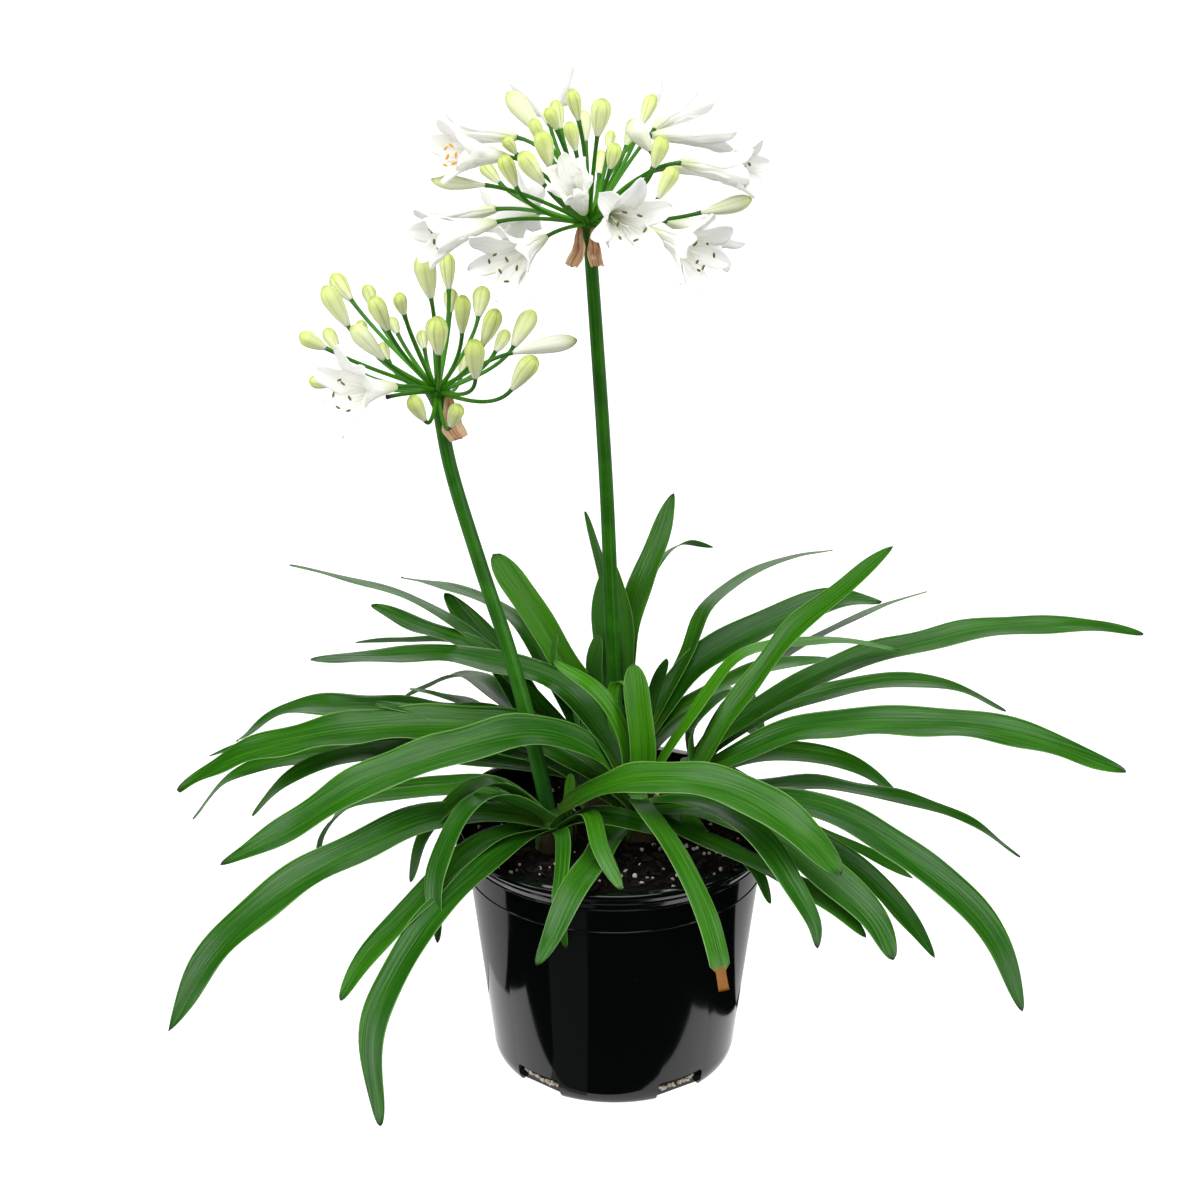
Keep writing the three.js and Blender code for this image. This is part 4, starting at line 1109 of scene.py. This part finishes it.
def leaf(skin, fan, row, rng, fresh, cut):
    """Strap blade with a channel along it and softly waved edges."""
    width, roll, taper, *way = row
    path, side = midrib(fan, way)
    steps = max(LEAF.least_steps, round(path.length / LEAF.step))
    tone = rng.random()
    channel = 1.0 if width > LEAF.narrow else LEAF.narrow_channel
    ripple = LEAF.ripple * width * rng.uniform(*LEAF.ripple_share)
    lengths = [rng.uniform(*LEAF.ripple_length) for _ in range(2)]
    left_phase, right_phase, sway_phase, _ = (rng.uniform(0, tau) for _ in range(4))
    sway_length = rng.uniform(*LEAF.sway_length)
    for step in steps_of(steps):
        t = 1 - (1 - step) ** LEAF.crowding
        run = path.run(t)
        left = (side - run * side.dot(run)).normalized()
        left.rotate(Quaternion(run, radians(roll)))
        face = run.cross(left)
        reach = t * path.length
        half = max(leaf_width(t, width, taper), LEAF.tip) / 2
        dry = 0.0
        if cut:
            dry = clamp((reach - path.length + cut.length) / cut.fade)
            half = lerp(max(half, cut.width / 2), cut.width / 2, dry)
        thick = lerp(*LEAF.midrib, t)
        rise = 2 * half * lerp(*LEAF.channel, t) * channel
        grown = min(t * LEAF.wave_growth, 1)
        sway = sin(tau * reach / sway_length + sway_phase)
        centre = path.at(t) + left * (LEAF.sway * grown * sway)

        def spot_at(u, sign):
            length, phase = (lengths[0], left_phase) if u > 0 else (lengths[1], right_phase)
            bend = rise * abs(u) ** LEAF.channel_curve
            bend += ripple * grown * u * u * sin(tau * reach / length + phase)
            depth = lerp(thick, LEAF.edge, abs(u) ** LEAF.bulge) / 2
            if abs(u) == 1:
                depth *= LEAF.edge_round
            return centre + left * (u * half) + face * (bend + sign * depth)

        skin.sheet(LEAF.across, half, spot_at, share=t, along=reach, tone=tone,
                   fresh=fresh, dry=dry)
    skin.close()


def make_blades(name):
    rng = random.Random(f"blades {name}")
    skin = Skin("leaf")
    for i, row in enumerate(LEAVES[name]):
        fresh = FRESH.get(name, {}).get(i, 0.0)
        leaf(skin, FANS[name], row, rng, fresh, CUT_TIPS.get(name, {}).get(i))
    make_piece(f"blades_{name}", skin, f"leaves_{name}")


def neck_spot(fan, turn, height, grow=0.0):
    """A spot on a neck's surface. The turn is an angle in radians round it."""
    rest = (height / fan.neck - NECK.straight) / (1 - NECK.straight)
    share = lerp(1, NECK.top_share, max(rest, 0))
    share *= 1 + NECK.ridge * sin(NECK.ridges * turn + height * NECK.twist)
    spot = Vector((fan.x, fan.y, SOIL.top + height))
    spot += heading(fan.plane) * ((fan.long * share + grow) * cos(turn))
    return spot + heading(fan.plane + 90) * ((fan.short * share + grow) * sin(turn))


def husk(skin, fan, rng):
    """A dry leaf base that is wrapped round part of a neck."""
    middle = rng.uniform(0, tau)
    half = rng.uniform(*HUSK.half)
    top = fan.neck * rng.uniform(*HUSK.top)
    tone = rng.uniform(0, 30)
    lift = rng.uniform(*HUSK.lift)
    for h in steps_of(HUSK.along):
        spread = half * (1 - HUSK.narrowing * h**2)

        def spot_at(u, sign):
            turn = middle - spread * u
            ragged = 1 + HUSK.ragged * noise.noise(Vector((turn * 5, tone, h * 2)))
            grow = lift + HUSK.curl * h**3 + sign * HUSK.thickness / 2
            return neck_spot(fan, turn, lerp(-HUSK.sunk, top * ragged, h), grow)

        around = [(middle - spread * u) / tau for u in across_shares(HUSK.across)]
        skin.sheet(HUSK.across, spread, spot_at, share=h, dry=1.0, tone=tone, around=around)
    skin.close()


def make_neck(name):
    fan = FANS[name]
    rng = random.Random(f"neck {name}")
    skin = Skin("neck")
    around = [j / NECK.sides for j in range(NECK.sides)]
    for h in steps_of(NECK.rings):
        height = lerp(-PLANTED, fan.neck, h)
        points = [neck_spot(fan, tau * share, height) for share in around]
        skin.ring(points, share=h, tone=float(fan.x), around=around)
    skin.close()
    for _ in range(HUSK.count):
        husk(skin, fan, rng)
    make_piece(f"neck_{name}", skin, f"leaves_{name}")


# ----- flower heads


def hub_of(name):
    return Vector(SCAPES[name].way[-1]) + UP * HUB.above


def stalk_end(name, row):
    """End of the stalk that carries a bud or flower."""
    compass, rise, length = row[:3]
    return hub_of(name) + heading(compass, rise) * length


def scape(skin, name):
    way = [Vector(p) for p in SCAPES[name].way]
    foot = Vector((way[0].x, way[0].y, SOIL.top - PLANTED))
    radius = SCAPES[name].radius

    def shape(t, a):
        ridge = abs(sin(a * SCAPE.ridges / 2 + SCAPE.twist * t))
        oval = cos(2 * a + SCAPE.oval_turn)
        return SCAPE.base + SCAPE.oval * oval + SCAPE.ridge * ridge

    tube(skin, smooth_path([foot, *way]), lambda t: lerp(*radius, t), SCAPE.sides, SCAPE.steps,
         shape, tone=5.0)


def hub(skin, name):
    """Swollen top of the scape, grooved between the stalks that leave it."""
    outline = [(0.0, SCAPES[name].radius[1]), *HUB_OUTLINE]
    for t in steps_of(HUB.steps):
        centre = hub_of(name) + UP * lerp(-HUB.below, HUB.above, t)

        def radius_at(a):
            return outline_at(outline, t) * (1 + HUB.groove * sin(a * HUB.grooves) * t)

        skin.hoop(centre, UP, heading(0), radius_at, HUB.sides, HUB.wraps, share=1.0, tone=9.0)
    skin.close()


def stalk_radius(t):
    """A stalk is thick where it leaves the hub and swells a little at its end."""
    flare = (STALK.root - STALK.radius) * exp(-STALK.flare * t)
    knob = (STALK.end - STALK.radius) * clamp((t - STALK.knob) / (1 - STALK.knob)) ** 2
    return STALK.radius + flare + knob


def stalk(skin, name, row, rng, dry=0.0):
    centre = hub_of(name)
    end = stalk_end(name, row)
    bend = end - heading(*row[3:5]) * (STALK.sag * (end - centre).length)
    root = centre + (bend - centre).normalized() * STALK.sunk
    tube(skin, bent_path(root, bend, end), stalk_radius, STALK.sides, STALK.steps,
         stalk=1.0, tone=rng.uniform(0, 50), dry=dry)


def make_stem(name):
    rng = random.Random(f"stem {name}")
    skin = Skin("stem")
    scape(skin, name)
    hub(skin, name)
    for row in BUDS[name] + FLOWERS[name]:
        stalk(skin, name, row, rng)
    for row in CUT_STALKS[name]:
        stalk(skin, name, row, rng, lambda t: clamp((t - STALK.knob) / STALK.blackened))
    make_piece(f"stem_{name}", skin, f"flower_stem_{name}")


def bud(skin, name, row, rng):
    """A bud swells from its stalk to a blunt tip, with six seams between its folded tepals."""
    points_compass, points_rise, length, width, white = row[3:]
    points = heading(points_compass, points_rise)
    start = stalk_end(name, row)
    across = across_of(points)
    tone = rng.uniform(0, 50)
    turn = rng.uniform(0, tau)
    bow = rng.uniform(-BUD.bow, BUD.bow)
    for step in steps_of(BUD.steps):
        t = 1 - (1 - step) ** BUD.crowding
        radius = outline_at(BUD_OUTLINE, t) * width
        if length > BUD.slim * width:
            radius *= lerp(BUD.slim_foot, 1.0, sin(min(t / BUD.slim_to, 1) * pi / 2))
        depth = BUD.seam * sin(pi * min(t + BUD.seam_lead, 1))
        centre = start + points * (t * length) + across * (bow * sin(pi * t))

        def seam_at(a):
            return (0.5 + 0.5 * cos(BUD.seams * a + turn)) ** 3

        seams = [seam_at(tau * j / BUD.sides) for j in range(BUD.sides)]
        skin.hoop(centre, points, across, lambda a: radius * (1 - depth * seam_at(a)),
                  BUD.sides, share=t, seam=seams, white=white, tone=tone)
    skin.close()


def make_buds(name):
    rng = random.Random(f"buds {name}")
    skin = Skin("bud")
    for row in BUDS[name]:
        bud(skin, name, row, rng)
    make_piece(f"buds_{name}", skin, f"flower_stem_{name}")


# ----- flowers


class Bloom:
    """Where a flower stands, the way it faces and how far it is open."""

    def __init__(self, name, row):
        facing_compass, facing_rise, self.open, self.ripe = row[3:]
        self.axis = heading(facing_compass, facing_rise)
        self.base = stalk_end(name, row) + self.axis * GAP
        self.across = across_of(self.axis)

    def outward(self, turn):
        """Direction away from the axis, by a share of a whole turn."""
        return Quaternion(self.axis, tau * turn) @ self.across

    def free_line(self, flare, pieces=24):
        """Forward and outward reach, and the angle, along the free part of a tepal."""
        root, middle, tip = (radians(a * self.open) for a in flare)
        line = [(FLOWER.tube, FLOWER.mouth, root)]
        step = FLOWER.reach / pieces
        for i in range(pieces):
            t = (i + 0.5) / pieces
            angle = lerp(root, middle, t * 2) if t < 0.5 else lerp(middle, tip, t * 2 - 1)
            forward, out, _ = line[-1]
            line.append((forward + cos(angle) * step, out + sin(angle) * step, angle))
        return line


def tepal(skin, bloom, index, rng):
    """One of the six parts of a flower: a sixth of the tube, then a free blade that curls out."""
    outward = bloom.outward(index / FLOWER.tepals)
    across = bloom.axis.cross(outward)
    inner = index % 2 == 1
    width = FLOWER.width * (1 if inner else FLOWER.outer_width)
    shift = 0 if inner else FLOWER.outer_shift
    line = bloom.free_line([a * rng.uniform(*FLOWER.uneven) for a in FLOWER.flare])
    tone = rng.uniform(0, 60)
    phases = [rng.uniform(0, tau) for _ in range(2)]
    waves = rng.uniform(*FLOWER.waves)
    lean = rng.uniform(-FLOWER.lean, FLOWER.lean)
    ruffle = FLOWER.ruffle * (1 if inner else FLOWER.outer_ruffle)
    if bloom.ripe is None:
        ruffle *= FLOWER.crumple
    for k in range(-FLOWER.tube_steps, FLOWER.along + 1):
        s = max(k, 0) / FLOWER.along
        if k < 0:
            t = 1 + k / FLOWER.tube_steps
            forward, angle = FLOWER.tube * t, 0.0
            radius = lerp(FLOWER.neck, FLOWER.mouth, t ** FLOWER.funnel)
            half = radius * FLOWER.sector
            reach = forward
        else:
            place = s * (len(line) - 1)
            i = min(int(place), len(line) - 2)
            forward, radius, angle = (lerp(a, b, place - i) for a, b in zip(line[i], line[i + 1]))
            half = width * outline_at(TEPAL_OUTLINE, s) / 2
            reach = FLOWER.tube + s * FLOWER.reach
        share = reach / (FLOWER.tube + FLOWER.reach)
        grown = min(s * FLOWER.wave_growth, 1)
        face = bloom.axis * sin(angle) - outward * cos(angle)
        middle = (bloom.base + bloom.axis * forward + across * (lean * s * s)
                  + outward * (radius + shift * min(share * 3, 1)))

        def spot_at(u, sign):
            round_tube = radius - sqrt(max(radius * radius - (u * half) ** 2, 0))
            cup = 2 * half * FLOWER.cup * u * u
            bend = lerp(round_tube, cup, min(s * 4, 1))
            phase = phases[0] if u > 0 else phases[1]
            bend += ruffle * grown * u * u * sin(tau * waves * s + phase)
            bend -= FLOWER.midvein[0] * grown * exp(-((u / FLOWER.midvein[1]) ** 2))
            depth = lerp(*FLOWER.thickness, abs(u)) / 2
            return middle + across * (u * half) + face * (bend + sign * depth)

        skin.sheet(FLOWER.across, half, spot_at, share=share, tone=tone)
    skin.close()


def ball(skin, centre, along, length, radius, sides=8, **numbers):
    """A small egg-shaped body."""
    for k in range(1, sides):
        a = pi * k / sides
        middle = centre - along * (length * cos(a))
        skin.hoop(middle, along, across_of(along), lambda _: radius * sin(a), sides, **numbers)
    skin.close()


def stamens(skin, bloom, rng):
    """Six stamens that sag to the lower side and turn up at their ends, and the style."""
    sag = (bloom.axis * bloom.axis.z - UP).normalized()
    wide = 1 + STAMEN.opening * bloom.open
    for i in range(FLOWER.tepals + 1):
        style = i == FLOWER.tepals
        out = bloom.outward((i + 0.5) / FLOWER.tepals)
        length = STAMEN.length
        length *= STAMEN.style_length if style else rng.uniform(*STAMEN.uneven)
        spread = STAMEN.spread * (STAMEN.style_spread if style else 1)
        root = bloom.base + bloom.axis * STAMEN.start + out * (spread * STAMEN.root)
        reach, bow = STAMEN.middle
        middle = (root + bloom.axis * (length * reach) + out * (spread * wide * bow)
                  + sag * STAMEN.sag)
        end = (root + bloom.axis * length + out * (spread * wide * STAMEN.end)
               + sag * rng.uniform(*STAMEN.end_sag))
        path = smooth_path([root, middle, end], 10)
        tube(skin, path, lambda t: STAMEN.radius * lerp(*STAMEN.taper, t), STAMEN.sides,
             STAMEN.steps, ripe=bloom.ripe)
        if style:
            ball(skin, end, path.run(1), *STAMEN.stigma)
        else:
            lie = path.run(1).cross(out) + Vector([rng.uniform(-0.5, 0.5) for _ in range(3)])
            ball(skin, end, lie.normalized(), STAMEN.anther, STAMEN.anther_radius, anther=1.0,
                 ripe=bloom.ripe)


def make_flower(name, index):
    rng = random.Random(f"flower {name} {index}")
    bloom = Bloom(name, FLOWERS[name][index])
    node = f"flower_{name}_{index + 1}"
    petals = Skin("petal")
    for i in range(FLOWER.tepals):
        tepal(petals, bloom, i, rng)
    make_piece(f"petals_{name}_{index + 1}", petals, node)
    if bloom.ripe is None:
        return
    inside = Skin("stamen")
    stamens(inside, bloom, rng)
    make_piece(f"stamens_{name}_{index + 1}", inside, node)


# ----- bracts


def make_bract(name, index):
    """Dry papery bract that hangs from the edge of the hub, crumpled and curled at its edges."""
    compass, width, length = BRACTS[name][index]
    out = heading(compass)
    across = heading(compass + 90)
    skin = Skin("bract")
    for s in steps_of(BRACT.along):
        half = width * outline_at(BRACT_OUTLINE, s) / 2
        flare = outline_at(BRACT_OUTLINE, s, 2)
        centre = hub_of(name) + out * (HUB.radius + GAP + flare) - UP * (s * length)

        def spot_at(u, sign):
            place = Vector((u * BRACT.crumples[0], s * BRACT.crumples[1], index * 7 + compass))
            fold = BRACT.pleat * sin(u * BRACT.pleats + 2 * s) * s
            fold += BRACT.crumple * noise.noise(place * 1.3) * min(s * 4, 1)
            fold += BRACT.wrap * half * u * u * (1 - s)
            ragged = BRACT.ragged * noise.noise(Vector((u * 4, compass, 0))) * s * s
            spot = centre + across * (u * half) + out * fold + UP * ragged
            return spot + out * (sign * BRACT.thickness / 2)

        skin.sheet(BRACT.across, half, spot_at, share=s, tone=float(compass))
    skin.close()
    make_piece(f"bract_fine_{name}_{index + 1}", skin, f"bract_{name}_{index + 1}")


# ----- studio


def make_camera():
    toward = heading(90, -CAMERA.elevation)
    target = Vector(CAMERA.target)
    camera = new_object("camera", bpy.data.cameras.new("camera"))
    camera.data.lens = CAMERA.lens
    camera.data.sensor_width = CAMERA.sensor
    camera.location = (target - toward * CAMERA.distance) * MM
    camera.rotation_euler = toward.to_track_quat("-Z", "Y").to_euler()
    bpy.context.scene.camera = camera


def make_light(name, place, size, power):
    light = bpy.data.lights.new(name, "AREA")
    light.shape = "RECTANGLE"
    light.size, light.size_y = size
    light.energy = power
    lamp = new_object(name, light)
    lamp.location = place
    lamp.rotation_euler = (Vector(LIGHT_TARGET) - Vector(place)).to_track_quat("-Z", "Y").to_euler()


def make_sheet(name, corners, height, grey, glow, *hidden_from):
    """A flat stage piece that glows evenly and is left out of some kinds of rays."""
    m = Shader(name)
    m.set(Base_Color=(grey, grey, grey, 1), Roughness=0.9, Specular_IOR_Level=0.0,
          Emission_Color=(1, 1, 1, 1), Emission_Strength=glow)
    mesh = bpy.data.meshes.new(name)
    mesh.from_pydata([Vector((x, y, height)) * MM for x, y in corners], [], [range(len(corners))])
    mesh.materials.append(m.material)
    sheet = new_object(name, mesh)
    for rays in hidden_from:
        setattr(sheet, f"visible_{rays}", False)


def square(size):
    return [(-size, -size), (size, -size), (size, size), (-size, size)]


def make_sheets():
    """White floor, a dimmer sheet under it, and the cards."""
    make_sheet("floor", square(FLOOR.size), 0, FLOOR.grey, FLOOR.glow,
               "glossy", "diffuse", "shadow")
    make_sheet("floor_bounce", square(BOUNCE.size), BOUNCE.height, 0.0, BOUNCE.glow,
               "camera", "glossy")
    for name, glow, corners in CARDS:
        make_sheet(name, corners, CARD_HEIGHT, 0.0, glow, "camera", "diffuse", "shadow")


def make_world():
    """White behind the plant. The light comes from the lamps."""
    world = bpy.data.worlds.new("studio")
    world.use_nodes = True
    bpy.context.scene.world = world
    background = world.node_tree.nodes["Background"]
    background.inputs["Color"].default_value = (1, 1, 1, 1)
    background.inputs["Strength"].default_value = 1.0
    world.cycles_visibility.diffuse = False
    world.cycles_visibility.glossy = False


def make_studio():
    make_camera()
    make_sheets()
    make_world()
    for light in LIGHTS:
        make_light(*light)
    bpy.context.scene.view_settings.view_transform = "Standard"


# ----- assembly

make_studio()
make_pot()
make_soil()
make_bark()
make_perlite()
for fan_name in FANS:
    make_blades(fan_name)
    make_neck(fan_name)
for head in SCAPES:
    make_stem(head)
    make_buds(head)
    for number in range(len(FLOWERS[head])):
        make_flower(head, number)
    for number in range(len(BRACTS[head])):
        make_bract(head, number)
